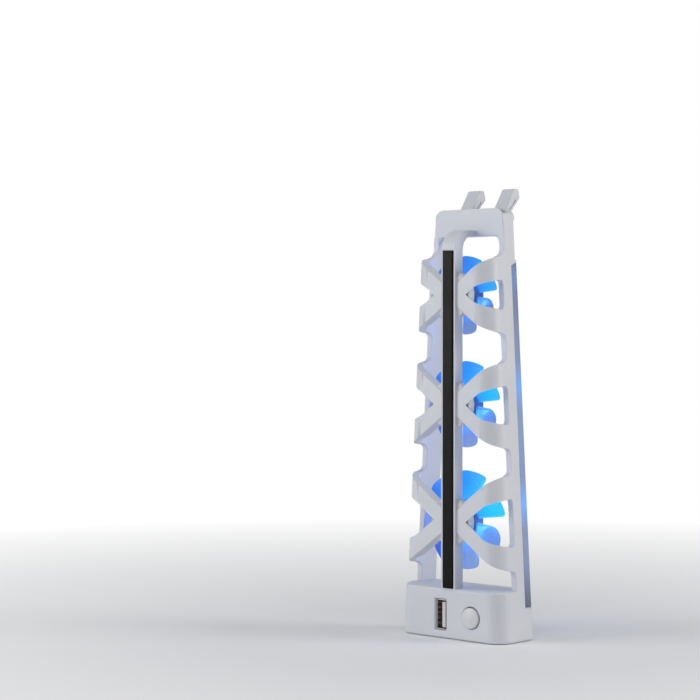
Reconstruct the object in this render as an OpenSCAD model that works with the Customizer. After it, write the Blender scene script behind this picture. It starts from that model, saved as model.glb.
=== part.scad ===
// Clip-on cooling fan for an upright game console: a tapering skeleton frame with three
// fans on a central spine, a control box at the foot and two hooks at the head.
// The part stands on the foot of the control box. +X is to the right of someone who looks
// at the front, +Y points into the console and +Z points up. Depths are measured back
// from the front face of the control box.

/* [Control box] */
// Width of the control box at its foot
box_w = 59; // [56:0.5:66]
// Depth of the control box and of the frame, from front face to rear face
box_d = 22.2; // [21.6:0.1:27]
// Height of the control box
box_h = 22; // [21:0.5:26]
// Radius of the two upright front edges
corner_r = 8; // [6:0.5:10]
// Wall thickness of the control box
box_wall = 2.2; // [1.6:0.1:2.6]
// Thickness of the cover on the rear of the control box
rear_cover_t = 2; // [1.4:0.1:2.6]

/* [Frame] */
// Height of the frame, from the foot to the top of the end cap
frame_h = 188; // [184:1:200]
// Angle by which each side leans in towards the top, in degrees
side_lean = 3.2; // [2.4:0.1:3.6]
// Thickness of the arms and the side rails
shell_t = 2.8; // [2.6:0.1:3.2]
// Depth of the front of the arms
arm_depth = 1; // [0.6:0.1:2]
// Depth of the front edge of the side rails
rail_depth = 12.3; // [11:0.1:13.5]
// Slope of the arms, as rise over run
arm_slope = 0.73; // [0.6:0.01:0.85]
// Width of an arm, measured along the height of the frame
arm_w = 8.6; // [7:0.1:10]
// Distance by which the middle line of an arm starts below the fan's middle
arm_drop = 2.3; // [1.5:0.1:3]
// Radius in the corners of the windows
window_r = 2.6; // [1.5:0.1:3]

/* [Spine] */
// Width of the spine
spine_w = 7.8; // [7.4:0.1:10]
// Depth of the spine
spine_d = 5.4; // [5:0.1:6.4]
// Width of the cover strip on the spine
strip_w = 5.8; // [5:0.1:6.2]
// Distance by which the cover strip stands proud of the spine
strip_proud = 0.6; // [0.3:0.1:1]
// Depth of the wire channel under the cover strip
channel_d = 3.6; // [3.5:0.1:3.8]

/* [End cap] */
// Height of the end cap
cap_h = 12; // [11:0.5:16]
// Depth of the front face of the end cap
cap_depth = 14.2; // [13.5:0.1:14.8]
// Radius of the two top corners of the end cap
cap_r = 4.5; // [3:0.5:6]
// Wall thickness of the end cap
cap_wall = 2.2; // [1.6:0.1:2.6]

/* [Hooks] */
// Width of one hook
hook_w = 6.6; // [5:0.1:7]
// Thickness of one hook
hook_t = 2.8; // [2:0.1:3.4]
// Distance between the middles of the two hooks
hook_pitch = 19.4; // [18.4:0.1:21]
// Distance by which the hooks reach behind the frame
hook_reach = 12; // [9:0.5:15]
// Thickness of the plate that carries the hooks
hook_plate_t = 2.4; // [1.8:0.1:3]

/* [Fans] */
// Distance from the top of the control box up to the middle of the lower fan
lower_fan_rise = 29.4; // [28:0.1:31]
// Distance from the top of the frame down to the middle of the upper fan
upper_fan_drop = 37.9; // [36:0.1:40]
// Height of the middle fan's middle above the point halfway between the other two
middle_fan_shift = 1.45; // [0:0.05:3]
// Gap between the blade tips of the lower two fans and the side rails
tip_gap = 1.9; // [1:0.1:3]
// Gap between the blade tips of the upper fan and the side rails
upper_tip_gap = 1; // [0.6:0.1:2]
// Number of blades on each fan
blade_count = 7; // [5:1:9]
// Thickness of a blade
blade_t = 1; // [0.7:0.1:1.4]
// Radius of the cup in the middle of each fan
cup_r = 8.5; // [8:0.1:9]
// Wall thickness of the cup
cup_t = 1.2; // [0.8:0.1:1.4]
// Radius of the round plate that carries each motor
hub_r = 10.5; // [10.2:0.1:12]
// Radius of the motor shafts
shaft_r = 1; // [0.8:0.05:1.2]
// Turn of the first blade from the right, in degrees
blade_turn = 26; // [0:1:51]

/* [Button and sockets] */
// Radius of the power button
button_r = 4.5; // [3.5:0.1:5]
// Distance from the middle of the box to the power button
button_x = 12.7; // [11.5:0.1:13.5]
// Travel of the power button
button_travel = 0.5; // [0.3:0.05:0.8]
// Height by which the power button stands proud of the box
button_proud = 0.9; // [0.8:0.1:1.8]
// Distance from the middle of the box to the socket and the plug, on the left
usb_x = 4.3; // [4.2:0.1:5]
// Height of the middle of the button, the socket and the plug
control_z = 10.2; // [9.8:0.1:11.5]

/* [Light bars] */
// Width of the light bars, which end at the rear edge of the frame
bar_w = 4; // [3:0.1:5]
// Thickness of the light bars
bar_t = 1; // [0.8:0.1:1.1]
// Height of the lower end of the light bars
bar_z0 = 14.5; // [13.5:0.5:18]
// Distance from the top of the frame down to the upper end of the light bars
bar_top_drop = 25; // [20:0.5:33]
// Height of the slant at the upper end of the light bars
bar_slant = 1.6; // [0:0.1:4]

/* [Hidden] */
$fn = 64;
far = 60;
slip = 0.15;           // clearance of pieces that slide into each other
run = 0.03;            // radial clearance of the shafts in their bearings
seat = 0.02;           // clearance of pieces that are pressed or glued in place
cut = 1;               // overshoot of cutting solids
end_over = 8;          // overshoot of the lowest and the highest window past the shell
outer_fan_z = [box_h + lower_fan_rise, frame_h - upper_fan_drop];
fan_z = [outer_fan_z[0], (outer_fan_z[0] + outer_fan_z[1]) / 2 + middle_fan_shift, outer_fan_z[1]];
cap_z = frame_h - cap_h;
half_w = box_w / 2;
rail_x = half_w * cos(side_lean);        // side face, in the leaning frame of one side

// Depth stack of one fan, from the spine back to the console
board_d0 = spine_d;                      // motor board
board_t = 1;
board_r = hub_r - 0.5;
tube_r = 2.6;                            // bearing tube on the hub plate
bearing_r = 1.9;
tube_len = 7.4;
tube_d1 = board_d0 + tube_len;
pocket_d0 = board_d0 - 0.5;              // front end of the bearing pocket
bearing_d0 = board_d0 + 1;
bearing_d1 = tube_d1 - 0.2;
retainer_d0 = board_d0 + 0.3;
retainer_t = 0.4;
cup_d0 = board_d0 + board_t + 0.4;       // open front edge of the cup
cup_len = 7.8;
cup_d1 = cup_d0 + cup_len;               // closed rear face of the cup
cup_floor_t = 1.2;
magnet_t = 1;
magnet_len = 5.6;
stator_d0 = board_d0 + 2.2;
stator_len = 3.2;
stator_r = cup_r - cup_t - magnet_t - 0.4;
coil_over = 0.6;
led_size = [0.8, 0.6, 1.6];              // across, depth and along
led_r = cup_r + 0.7;
fan_led_count = 4;
blade_d1 = cup_d1 - 1.5;                 // deepest point of the blades
blade_half = 136.5 / blade_count;        // half of the angle one blade covers at its tip
blade_flat = 8;                          // angle of the blades at their deep edge, degrees
blade_steep = 27;                        // angle of the blades at their shallow edge, degrees

// Spine, wires and bend
rebate_d = 0.8;                          // depth of the rebate for the cover strip
channel_w = spine_w - 3.2;
channel_d1 = rebate_d + channel_d;       // floor of the wire channel
bend_r = 9;                              // outer radius of the bend at the top
bend_in_r = 7;                           // inner radius of the bend
bend_z1 = cap_z + 2.5;                   // height where the bend runs into the front of the end cap
bend_in_z1 = cap_z + 0.3;                // height where its underside runs into the end cap
spine_z1 = bend_z1 - bend_r;             // height where the bend starts
cap_edge = 0.6;                          // radius of the upright front edges of the end cap
leg_r = 4.4;                             // radius between the highest arms and the legs of the end cap
rear_edge = 1;                           // chamfer of the rear edges above the light bars
wire_r = 0.4;
wire_x = [-0.7, 0.5, 1.7];
wire_drop = [5, 6.6];                    // where the two wires of a fan turn in, below its middle
wire_hole = [channel_w, 4.4];
wire_hole_drop = 8;                      // lower edge of the wire holes, below the fans' middles

// Control box inside
boss_r = 2.4;
boss_inset = 5.4;                        // from the inside of the box's foot to the screws
boss_x = half_w - box_wall - boss_inset;
boss_z = [box_wall + 3, box_h - box_wall - 3];
screw_r = 1;
screw_head_r = 1.9;
screw_head_h = 1.2;
screw_len = 9;
hook_screw_len = box_d - cap_depth - cap_wall - 0.5;
cover_d0 = box_d - rear_cover_t;
socket_size = [5.8, 13.2];               // outer size of the socket's shell
socket_d0 = 1;
socket_len = 14;
socket_sheet = 0.35;
tongue_t = 1.8;
plug_size = [4.5, 12];                   // outer size of the plug's shell
plug_sheet = 0.3;
plug_len = 11.8;
plug_hole = 2.4;                         // size of the square windows in the plug's shell
plug_hole_d = 5;                         // from the rear of the frame to those windows
plug_inside = 4.2;
contact_pitch = 2.3;
contact_w = 1;
tongue_base = 3;                         // length of the block that holds a tongue
slot_gap = 0.2;                          // gap around the socket's shell
slot_edge = 0.6;                         // chamfer around the socket's opening
usb_board_t = 1.6;
usb_board_d = [box_wall + 2, cover_d0 - 0.4];
button_gap = 0.45;                       // gap around the button in the front of the box
flange_r = button_r + 0.9;
flange_t = 1;
switch_size = 6;
switch_h = 3.4;
plunger_r = 1.75;
switch_d0 = box_wall + flange_t + button_travel + 1.2;
control_board_d = switch_d0 + switch_h;
control_board_t = 1.6;
control_board_x = [-usb_x + socket_size[0] / 2 + 0.3, boss_x - boss_r - 0.3];
plunger_d1 = switch_d0 + 1;
header_x = [-1.1, 3.3];
header_h = 4.6;
header_z1 = box_h - box_wall - 2;

// Light bars
bar_gap = 0.1;
bar_d0 = box_d - bar_w;                  // front edge of the light bars
bar_z1 = frame_h - bar_top_drop;
led_board_t = 0.6;
side_led_h = 0.5;
side_led_count = 9;
led_board_x = rail_x - bar_t - side_led_h - led_board_t;
led_board_z = [box_h - box_wall - 2, bar_z1 - 1.5];

// Y of a depth behind the front face
function dy(depth) = depth - box_d / 2;
// Half width of the outside of the frame at a height
function half_at(z) = half_w - z * tan(side_lean);
// Room from the middle of a fan to the point halfway to the next fan
function fan_room(k) = min([for (j = [0:2]) if (j != k) abs(fan_z[j] - fan_z[k]) / 2]);
// Radius of the blade tips of a fan, kept clear of the side rails and of the next fan
function rotor_r(k) =
    min(half_at(fan_z[k]) - shell_t - (k == 2 ? upper_tip_gap : tip_gap), fan_room(k) - tip_gap);

// Cylinder along the depth, centred on x and z
module rod(x, z, d0, d1, r) {
    translate([x, dy(d0), z]) rotate([-90, 0, 0]) cylinder(r = r, h = d1 - d0);
}

// Ring along the depth, centred on x and z
module ring(x, z, d0, d1, r_out, r_in) {
    difference() {
        rod(x, z, d0, d1, r_out);
        rod(x, z, d0 - cut, d1 + cut, r_in);
    }
}

// Block between two corners, given as [x, depth, z]
module block(a, b) {
    translate([a[0], dy(a[1]), a[2]]) cube([b[0] - a[0], b[1] - a[1], b[2] - a[2]]);
}

// Leans its children with one side, whose heights count from its foot: 1 is the right side, -1 the left
module on_side(side) {
    mirror([side < 0 ? 1 : 0, 0, 0]) rotate([0, -side_lean, 0])
        translate([0, 0, -half_w * sin(side_lean)]) children();
}

// Endless body whose right side leans in, with a rounded front edge
module leaning_half(front, back, inset, r) {
    w = rail_x - inset;
    rotate([0, -side_lean, 0]) translate([0, dy(0), -far]) linear_extrude(frame_h + 2 * far) {
        translate([-2 * far, front]) square([2 * far + w - r, back - front]);
        translate([-far, front + r]) square([far + w, back - front - r]);
        translate([w - r, front + r]) circle(r);
    }
}

// Body with both sides leaning in, from z0 to z1 and from one depth to another
module leaning_body(z0, z1, front, back, inset, r) {
    intersection() {
        leaning_half(front, back, inset, r);
        mirror([1, 0, 0]) leaning_half(front, back, inset, r);
        translate([-far, -far, z0]) cube([2 * far, 2 * far, z1 - z0]);
    }
}

// Control box, open at the rear
module box_shell() {
    difference() {
        leaning_body(0, box_h, 0, box_d, 0, corner_r);
        leaning_body(box_wall, box_h - box_wall, box_wall, box_d + cut, box_wall, corner_r - box_wall);
    }
    for (side = [-1, 1], z = boss_z)
        ring(side * boss_x, z, 0.9 * box_wall, cover_d0, boss_r, screw_r + 0.05);
}

// Distance across the diagonal of a front corner, for a place at x and depth
function across(x, depth) = (x + depth) / sqrt(2);

// Height of an arm's straight edge beside the fan's middle, at x; side is 1 for the edge that
// faces away from the fan's middle and -1 for the edge that faces it
function arm_line(x, side) = arm_slope * x - arm_drop + side * arm_w / 2;

// Height of an arm's edge beside the fan's middle where it meets the rail
function rail_rise(k, side) = arm_line(half_at(fan_z[k]) - corner_r, side) + (side > 0 ? 5.3 : 3.7);

// Place on a curve from p0 to p2 that leaves p0 towards p1
function curve(p0, p1, p2, t) = (1 - t) * (1 - t) * p0 + 2 * t * (1 - t) * p1 + t * t * p2;

// Edge of an arm from the spine around the corner to the rail, as places of a window's outline;
// up is 1 above the fan's middle and -1 below it
function arm_edge(k, up, side) =
    let (w = half_at(fan_z[k]),
         x0 = side > 0 ? -1 : (arm_drop + arm_w / 2) / arm_slope,
         p0 = [across(w - corner_r, arm_depth), arm_line(w - corner_r, side)],
         p2 = [across(w, rail_depth), rail_rise(k, side)],
         s0 = arm_slope * sqrt(2),
         s2 = 0.15,
         u1 = (p2[1] - s2 * p2[0] - p0[1] + s0 * p0[0]) / (s0 - s2),
         p1 = [u1, p0[1] + s0 * (u1 - p0[0])],
         over = corner_r + cut,
         end = [p2[0] + over, p2[1] + over * s2],
         places = concat([[across(x0, arm_depth), arm_line(x0, side)]],
                         [for (i = [0:5]) curve(p0, p1, p2, i / 5)], [end]))
    [for (p = places) [p[0], fan_z[k] + up * p[1]]];

function rail_z(k, up, side) = fan_z[k] + up * rail_rise(k, side);

function backwards(list) = [for (i = [len(list) - 1:-1:0]) list[i]];

// Level edge of a window
function level_edge(z) = [[across(-1, arm_depth), z], [across(half_w, rail_depth) + corner_r + cut, z]];

// Outline of a window seen from the side: open towards the front, with round corners at the rail
module side_outline(z0, z1, depth, corner) {
    r = min(corner, (z1 - z0) / 3);
    translate([-2, z0 - far]) square([depth - r + 2, z1 - z0 + 2 * far]);
    translate([-2, z0 + r]) square([depth + 2, z1 - z0 - 2 * r]);
    for (z = [z0 + r, z1 - r]) translate([depth - r, z]) circle(r);
}

// Cuts a window: the arms' edges run along the corner's diagonal, the rail's edge runs across
module window(lower, upper, z0, z1, depth = rail_depth, corner = window_r) {
    intersection() {
        translate([0, dy(0), 0]) rotate([90, 0, 45]) translate([0, 0, -far]) linear_extrude(2 * far)
            polygon(concat(lower, backwards(upper)));
        translate([-1.5, dy(0), 0]) rotate([90, 0, 90]) linear_extrude(far)
            side_outline(z0, z1, depth, corner);
    }
}

// All windows of the right side
module side_windows() {
    ease = 0.12 * window_r;
    for (k = [0:2])
        window(arm_edge(k, -1, -1), arm_edge(k, 1, -1), rail_z(k, -1, -1), rail_z(k, 1, -1));
    for (k = [0:1])
        window(arm_edge(k, 1, 1), arm_edge(k + 1, -1, 1),
               rail_z(k, 1, 1) - ease, rail_z(k + 1, -1, 1) + ease);
    window(level_edge(box_h - end_over), arm_edge(0, -1, 1), box_h - end_over, rail_z(0, -1, 1) + ease);
    // the highest window reaches back to the front of the end cap
    window(arm_edge(2, 1, 1), level_edge(cap_z + end_over), rail_z(2, 1, 1) - ease, cap_z + end_over,
           cap_depth - 0.1, leg_r);
}

// Arms and side rails
module skeleton_shell() {
    difference() {
        leaning_body(box_h, cap_z, arm_depth, box_d, 0, corner_r);
        leaning_body(box_h - cut, cap_z + cut, arm_depth + shell_t, box_d + cut, shell_t,
                     corner_r - shell_t);
        side_windows();
        mirror([1, 0, 0]) side_windows();
    }
}

// Side outline of the bend, from the top of the spine into the front of the end cap
module bend_outline() {
    d1 = cap_depth + cap_wall / 2;
    zc = bend_in_z1 - bend_in_r;
    difference() {
        union() {
            translate([0, zc - cut]) square([d1, spine_z1 - zc + cut]);
            translate([bend_r, zc - cut]) square([d1 - bend_r, bend_z1 - zc + cut]);
            translate([bend_r, spine_z1]) circle(bend_r);
        }
        translate([spine_d, zc - far]) square([far, far]);
        translate([spine_d + bend_in_r, zc - cut]) square([far, bend_in_r + cut]);
        translate([spine_d + bend_in_r, zc]) circle(bend_in_r);
    }
}

// Spine with its bend into the end cap
module spine_body() {
    block([-spine_w / 2, 0, box_h - box_wall], [spine_w / 2, spine_d, bend_in_z1 - bend_in_r]);
    translate([-spine_w / 2, dy(0), 0]) rotate([90, 0, 90]) linear_extrude(spine_w) bend_outline();
}

// Round plate and bearing tube that carry one motor
module motor_mount(k) {
    rod(0, fan_z[k], arm_depth + 0.3, spine_d, hub_r);
    rod(0, fan_z[k], spine_d - cut, tube_d1, tube_r);
}

// Hollow end cap, open at the rear
module end_cap() {
    zc = frame_h - cap_r;
    difference() {
        intersection() {
            leaning_body(cap_z, frame_h, cap_depth, box_d, 0, cap_edge);
            translate([0, dy(box_d + cut), 0]) rotate([90, 0, 0]) linear_extrude(box_d + 2 * cut) {
                translate([-far, 0]) square([2 * far, zc]);
                translate([-half_at(zc) + cap_r, 0]) square([2 * (half_at(zc) - cap_r), frame_h]);
                for (side = [-1, 1]) translate([side * (half_at(zc) - cap_r), zc]) circle(cap_r);
            }
        }
        leaning_body(cap_z + cap_wall, frame_h - cap_wall, cap_depth + cap_wall, box_d + cut, shell_t, 1);
    }
    for (side = [-1, 1])
        ring(side * hook_screw_x, hook_screw_z, cap_depth + cap_wall / 2, box_d - hook_plate_t,
             boss_r, screw_r + 0.05);
    cap_fillet();
    mirror([1, 0, 0]) cap_fillet();
}

// Round inner corner between the right rail and the underside of the cap
module cap_fillet() {
    r = window_r + 0.8;
    x1 = half_at(cap_z) - shell_t;
    len = box_d - cap_depth - 0.6;
    translate([0, dy(box_d - 0.5), 0]) rotate([90, 0, 0]) linear_extrude(len) difference() {
        translate([x1 - r, cap_z - r]) square(r + 0.8);
        translate([x1 - r, cap_z - r]) circle(r);
    }
}

hook_screw_x = hook_pitch / 2 - hook_w / 2 - boss_r - 0.6;
hook_screw_z = cap_z + cap_h / 2;

// Frame in one moulding: control box, spine, motor plates, arms, rails and end cap
module main_frame() {
    color("whitesmoke") difference() {
        union() {
            box_shell();
            skeleton_shell();
            spine_body();
            end_cap();
            for (k = [0:2]) motor_mount(k);
        }
        // rebate and wire channel in the spine
        block([-strip_w / 2 - slip, -cut, box_h], [strip_w / 2 + slip, rebate_d, spine_z1]);
        block([-channel_w / 2, -cut, box_h], [channel_w / 2, channel_d1, spine_z1 - 2]);
        block([-channel_w / 2, box_wall, box_h - box_wall - cut], [channel_w / 2, channel_d1, box_h + cut]);
        for (k = [0:2]) {
            rod(0, fan_z[k], pocket_d0, tube_d1 + cut, bearing_r);
            block([-wire_hole[0] / 2, channel_d1 - cut, fan_z[k] - wire_hole_drop],
                  [wire_hole[0] / 2, spine_d + cut, fan_z[k] - wire_hole_drop + wire_hole[1]]);
        }
        // button, socket and light bars
        rod(button_x, control_z, -cut, box_wall + cut, button_r + button_gap);
        usb_block(socket_size, slot_gap, -cut, box_wall + cut);
        slot_chamfer();
        for (side = [-1, 1]) on_side(side) {
            light_rebate();
            rear_chamfer();
        }
    }
}

// Chamfer of the rear edge of one side, from its light bar to the round corner of the end cap
module rear_chamfer() {
    w = rear_edge * sqrt(2);
    z0 = bar_top(box_d) + 1;
    translate([rail_x, dy(box_d), z0]) rotate([0, 0, 45]) translate([-w / 2, -w / 2, 0])
        cube([w, w, frame_h - cap_r - 0.5 - z0]);
}

// Chamfer around the socket's opening, where two crossed diamond prisms overlap
module slot_chamfer() {
    w = (socket_size[0] / 2 + slot_gap + slot_edge) * sqrt(2);
    h = (socket_size[1] / 2 + slot_gap + slot_edge) * sqrt(2);
    translate([-usb_x, dy(0), control_z]) intersection() {
        rotate([0, 0, 45]) translate([-w / 2, -w / 2, -far]) cube([w, w, 2 * far]);
        rotate([45, 0, 0]) translate([-far, -h / 2, -h / 2]) cube([2 * far, h, h]);
    }
}

// Height of the slanted upper end of a light bar at a depth
function bar_top(depth) = bar_z1 + bar_slant * (depth - bar_d0) / bar_w;

// Bar along the rear edge of one side, grown by a gap and back to a depth
module bar_body(gap, thick, d1) {
    d0 = bar_d0 - gap;
    translate([rail_x - thick, dy(0), 0]) rotate([90, 0, 90]) linear_extrude(thick + (gap > 0 ? cut : 0))
        polygon([[d0, bar_z0 - gap], [d1, bar_z0 - gap], [d1, bar_top(d1) + gap], [d0, bar_top(d0) + gap]]);
}

// Rebate in the rear edge of one side for a light bar, its lights and their board
module light_rebate() {
    bar_body(bar_gap, bar_t + bar_gap, box_d + cut);
    block([led_board_x - bar_gap, bar_d0, box_h - box_wall], [rail_x - bar_t, box_d + cut, bar_z1 - cut]);
    // passage from the control box to the lower end of the board
    block([rail_x - box_wall - cut, bar_d0, led_board_z[0] - cut / 2],
          [rail_x - bar_t, box_d + cut, box_h - box_wall / 2]);
}

// Strip that closes the wire channel
module spine_cover() {
    color([0.05, 0.05, 0.055]) difference() {
        block([-strip_w / 2, -strip_proud, box_h + slip], [strip_w / 2, rebate_d, spine_z1 - slip]);
        for (side = [-1, 1])
            translate([side * strip_w / 2, dy(-strip_proud), box_h - cut]) rotate([0, 0, 45])
                translate([-0.25, -0.25, 0]) cube([0.5, 0.5, frame_h]);
    }
}

// Places of the screws in the rear cover
module at_cover_screws() {
    for (side = [-1, 1], z = boss_z) translate([side * boss_x, 0, z]) children();
}

// Cover on the rear of the control box
module box_rear_cover() {
    color("whitesmoke") difference() {
        leaning_body(box_wall + slip, box_h - box_wall - slip, cover_d0, box_d, box_wall + slip, 0.5);
        at_cover_screws() {
            rod(0, 0, cover_d0 - cut, box_d + cut, screw_r + 0.1);
            rod(0, 0, box_d - screw_head_h - 0.1, box_d + cut, screw_head_r + 0.1);
        }
        usb_block(plug_size, 0.1, cover_d0 - cut, box_d + cut);
    }
}

// Screw along the depth with its head at the rear of the frame and a cross recess in the head
module screw(len) {
    difference() {
        union() {
            rod(0, 0, box_d - screw_head_h, box_d, screw_head_r);
            rod(0, 0, box_d - len, box_d - screw_head_h, screw_r);
        }
        for (turn = [0, 90]) translate([0, dy(box_d), 0]) rotate([0, turn, 0])
            translate([-1.2, -0.6, -0.25]) cube([2.4, cut, 0.5]);
    }
}

module cover_screws() {
    color("dimgray") at_cover_screws() screw(screw_len);
}

module hook_screws() {
    color("dimgray") for (side = [-1, 1])
        translate([side * hook_screw_x, 0, hook_screw_z]) screw(hook_screw_len);
}

// Height where the lower edge of a hook leaves the plate, and its thickness along the height
hook_rise = hook_t * sqrt(2);
hook_z0 = frame_h - cap_wall - hook_rise - 0.5;

// Side outline of one hook: a bar that climbs at 45 degrees behind the cap and ends level
module hook_outline() {
    tip_d = box_d + hook_reach;
    tip_z = hook_z0 + hook_reach;
    polygon([[box_d - hook_plate_t / 2, hook_z0], [box_d, hook_z0], [tip_d, tip_z], [tip_d, tip_z + 1],
             [tip_d - 1, tip_z + hook_rise], [tip_d - hook_rise, tip_z + hook_rise],
             [box_d, hook_z0 + hook_rise], [box_d - hook_plate_t / 2, hook_z0 + hook_rise]]);
}

// Side outline of the groove along a hook's flank
module hook_groove() {
    d0 = box_d + 1;
    d1 = box_d + hook_reach - 3;
    polygon([for (p = [[d0, 0.35], [d1, 0.35], [d1, 0.65], [d0, 0.65]])
             [p[0], hook_z0 + p[0] - box_d + p[1] * hook_rise]]);
}

// Plate that closes the end cap and carries the two hooks
module hook_bracket() {
    color("whitesmoke") difference() {
        union() {
            leaning_body(cap_z + cap_wall + slip, frame_h - cap_wall - slip, box_d - hook_plate_t, box_d,
                         shell_t + slip, 0.5);
            for (side = [-1, 1])
                translate([side * hook_pitch / 2 - hook_w / 2, dy(0), 0]) rotate([90, 0, 90])
                    linear_extrude(hook_w) hook_outline();
        }
        for (side = [-1, 1]) {
            translate([side * hook_screw_x, 0, hook_screw_z]) {
                rod(0, 0, cap_depth, box_d + cut, screw_r + 0.1);
                rod(0, 0, box_d - screw_head_h - 0.1, box_d + cut, screw_head_r + 0.1);
            }
            for (x = [-hook_w / 2 - cut, hook_w / 2 - 0.5])
                translate([side * hook_pitch / 2 + x, dy(0), 0]) rotate([90, 0, 90])
                    linear_extrude(cut + 0.5) hook_groove();
        }
    }
}

module light_bar(side) {
    color([0.75, 0.85, 1, 0.8]) on_side(side) bar_body(0, bar_t, box_d);
}

// Board behind one light bar, held against it by its lights
module led_board(side) {
    color("white") on_side(side)
        block([led_board_x, bar_d0 + bar_gap, led_board_z[0]],
              [led_board_x + led_board_t, box_d - 2 * bar_gap, led_board_z[1]]);
}

module side_leds() {
    step = (led_board_z[1] - led_board_z[0]) / side_led_count;
    x0 = led_board_x + led_board_t;
    mid = bar_d0 + bar_w / 2;
    color("lightyellow") for (side = [-1, 1]) on_side(side) for (i = [0.5:1:side_led_count])
        block([x0, mid - 1, led_board_z[0] + i * step - 1],
              [x0 + side_led_h, mid + 1, led_board_z[0] + i * step + 1]);
}

// Upright block around the line of the socket and the plug
module usb_block(size, grow, d0, d1) {
    block([-usb_x - size[0] / 2 - grow, d0, control_z - size[1] / 2 - grow],
          [-usb_x + size[0] / 2 + grow, d1, control_z + size[1] / 2 + grow]);
}

module usb_socket_shell() {
    color("silver") difference() {
        usb_block(socket_size, 0, socket_d0, socket_d0 + socket_len);
        usb_block(socket_size, -socket_sheet, socket_d0 - cut, socket_d0 + socket_len - socket_sheet);
    }
}

socket_tongue_x = -usb_x + 0.55;

module usb_socket_tongue() {
    inner = socket_size[1] - 2 * socket_sheet;
    back = socket_d0 + socket_len - socket_sheet;
    color([0.1, 0.1, 0.12]) {
        block([socket_tongue_x, socket_d0 + 1.5, control_z - inner / 2 + 0.7],
              [socket_tongue_x + tongue_t, back - tongue_base, control_z + inner / 2 - 0.7]);
        block([-usb_x - socket_size[0] / 2 + socket_sheet, back - tongue_base, control_z - inner / 2],
              [-usb_x + socket_size[0] / 2 - socket_sheet, back, control_z + inner / 2]);
    }
}

module usb_plug_shell() {
    color("silver") difference() {
        usb_block(plug_size, 0, box_d - plug_inside, box_d + plug_len);
        usb_block(plug_size, -plug_sheet, box_d - plug_inside - cut, box_d + plug_len + cut);
        // two square windows on each broad side
        for (z = [-contact_pitch, contact_pitch])
            block([-usb_x - plug_size[0], box_d + plug_hole_d, control_z + z - plug_hole / 2],
                  [-usb_x + plug_size[0], box_d + plug_hole_d + plug_hole, control_z + z + plug_hole / 2]);
    }
}

plug_tongue_x = -usb_x - plug_size[0] / 2 + plug_sheet;

module usb_plug_tongue() {
    inner = plug_size[1] - 2 * plug_sheet;
    color([0.1, 0.1, 0.12]) {
        block([plug_tongue_x, box_d - plug_inside, control_z - inner / 2],
              [plug_tongue_x + tongue_t, box_d + plug_len - 0.4, control_z + inner / 2]);
        block([plug_tongue_x + tongue_t, box_d - plug_inside, control_z - inner / 2],
              [plug_tongue_x + plug_size[0] - 2 * plug_sheet, box_d - plug_inside + tongue_base,
               control_z + inner / 2]);
    }
}

// Four contact strips on the plug's tongue and four on the socket's
module usb_contacts() {
    strip = 0.15;
    color("gold") for (i = [-1.5:1:1.5]) {
        z0 = control_z + i * contact_pitch - contact_w / 2;
        z1 = z0 + contact_w;
        block([plug_tongue_x + tongue_t, box_d + 1, z0],
              [plug_tongue_x + tongue_t + strip, box_d + plug_len - 1.4, z1]);
        block([socket_tongue_x - strip, socket_d0 + 2.2, z0],
              [socket_tongue_x, socket_d0 + socket_len - socket_sheet - tongue_base, z1]);
    }
}

// Board that joins the socket to the plug, upright on the left of both
module usb_board() {
    x1 = -usb_x - socket_size[0] / 2;
    color("darkgreen")
        block([x1 - usb_board_t, usb_board_d[0], box_wall], [x1, usb_board_d[1], box_h - box_wall]);
}

// Board across the box that carries the switch and the header for the fan wires
module control_board() {
    color("darkgreen")
        block([control_board_x[0], control_board_d, box_wall],
              [control_board_x[1], control_board_d + control_board_t, box_h - box_wall]);
}

module tact_switch() {
    color("black") difference() {
        block([button_x - switch_size / 2, switch_d0, control_z - switch_size / 2],
              [button_x + switch_size / 2, control_board_d, control_z + switch_size / 2]);
        rod(button_x, control_z, switch_d0 - cut, plunger_d1 + button_travel + 0.3, plunger_r + slip);
    }
}

module switch_plunger() {
    color("black") rod(button_x, control_z, box_wall + flange_t + slip, plunger_d1, plunger_r);
}

// Round push button with a shallow dome, kept in by a flange behind the front wall
module power_button() {
    dome = 0.8;
    dome_r = (button_r * button_r + dome * dome) / (2 * dome);
    color("whitesmoke") {
        intersection() {
            rod(button_x, control_z, -button_proud, box_wall + slip, button_r);
            translate([button_x, dy(-button_proud + dome_r), control_z]) sphere(dome_r, $fn = 96);
        }
        rod(button_x, control_z, box_wall + slip, box_wall + slip + flange_t, flange_r);
    }
}

// Header on the control board that the fan wires come down to
module wire_header() {
    color("ivory") block([header_x[0], box_wall + 0.2, header_z1 - header_h],
                         [header_x[1], control_board_d, header_z1]);
}

// One wire: up the channel, then back through the spine to the motor board
module fan_wire(x, depth, z1) {
    translate([x, dy(depth), header_z1]) cylinder(r = wire_r, h = z1 - header_z1, $fn = 24);
    translate([x, dy(depth), z1]) sphere(wire_r, $fn = 24);
    translate([x, dy(depth), z1]) rotate([-90, 0, 0]) cylinder(r = wire_r, h = spine_d - depth, $fn = 24);
}

module fan_wires() {
    color("firebrick") for (k = [0:2], layer = [0, 1])
        fan_wire(wire_x[k], channel_d1 - wire_r - layer * (2 * wire_r + 0.1),
                 fan_z[k] - wire_drop[1 - layer]);
}

// Place at a distance and an angle from the middle
function polar(r, a) = [r * cos(a), r * sin(a)];

// Angle of the middle of a tip corner of radius c
function corner_angle(r, c) = blade_half - asin(c / (r - c));

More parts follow.
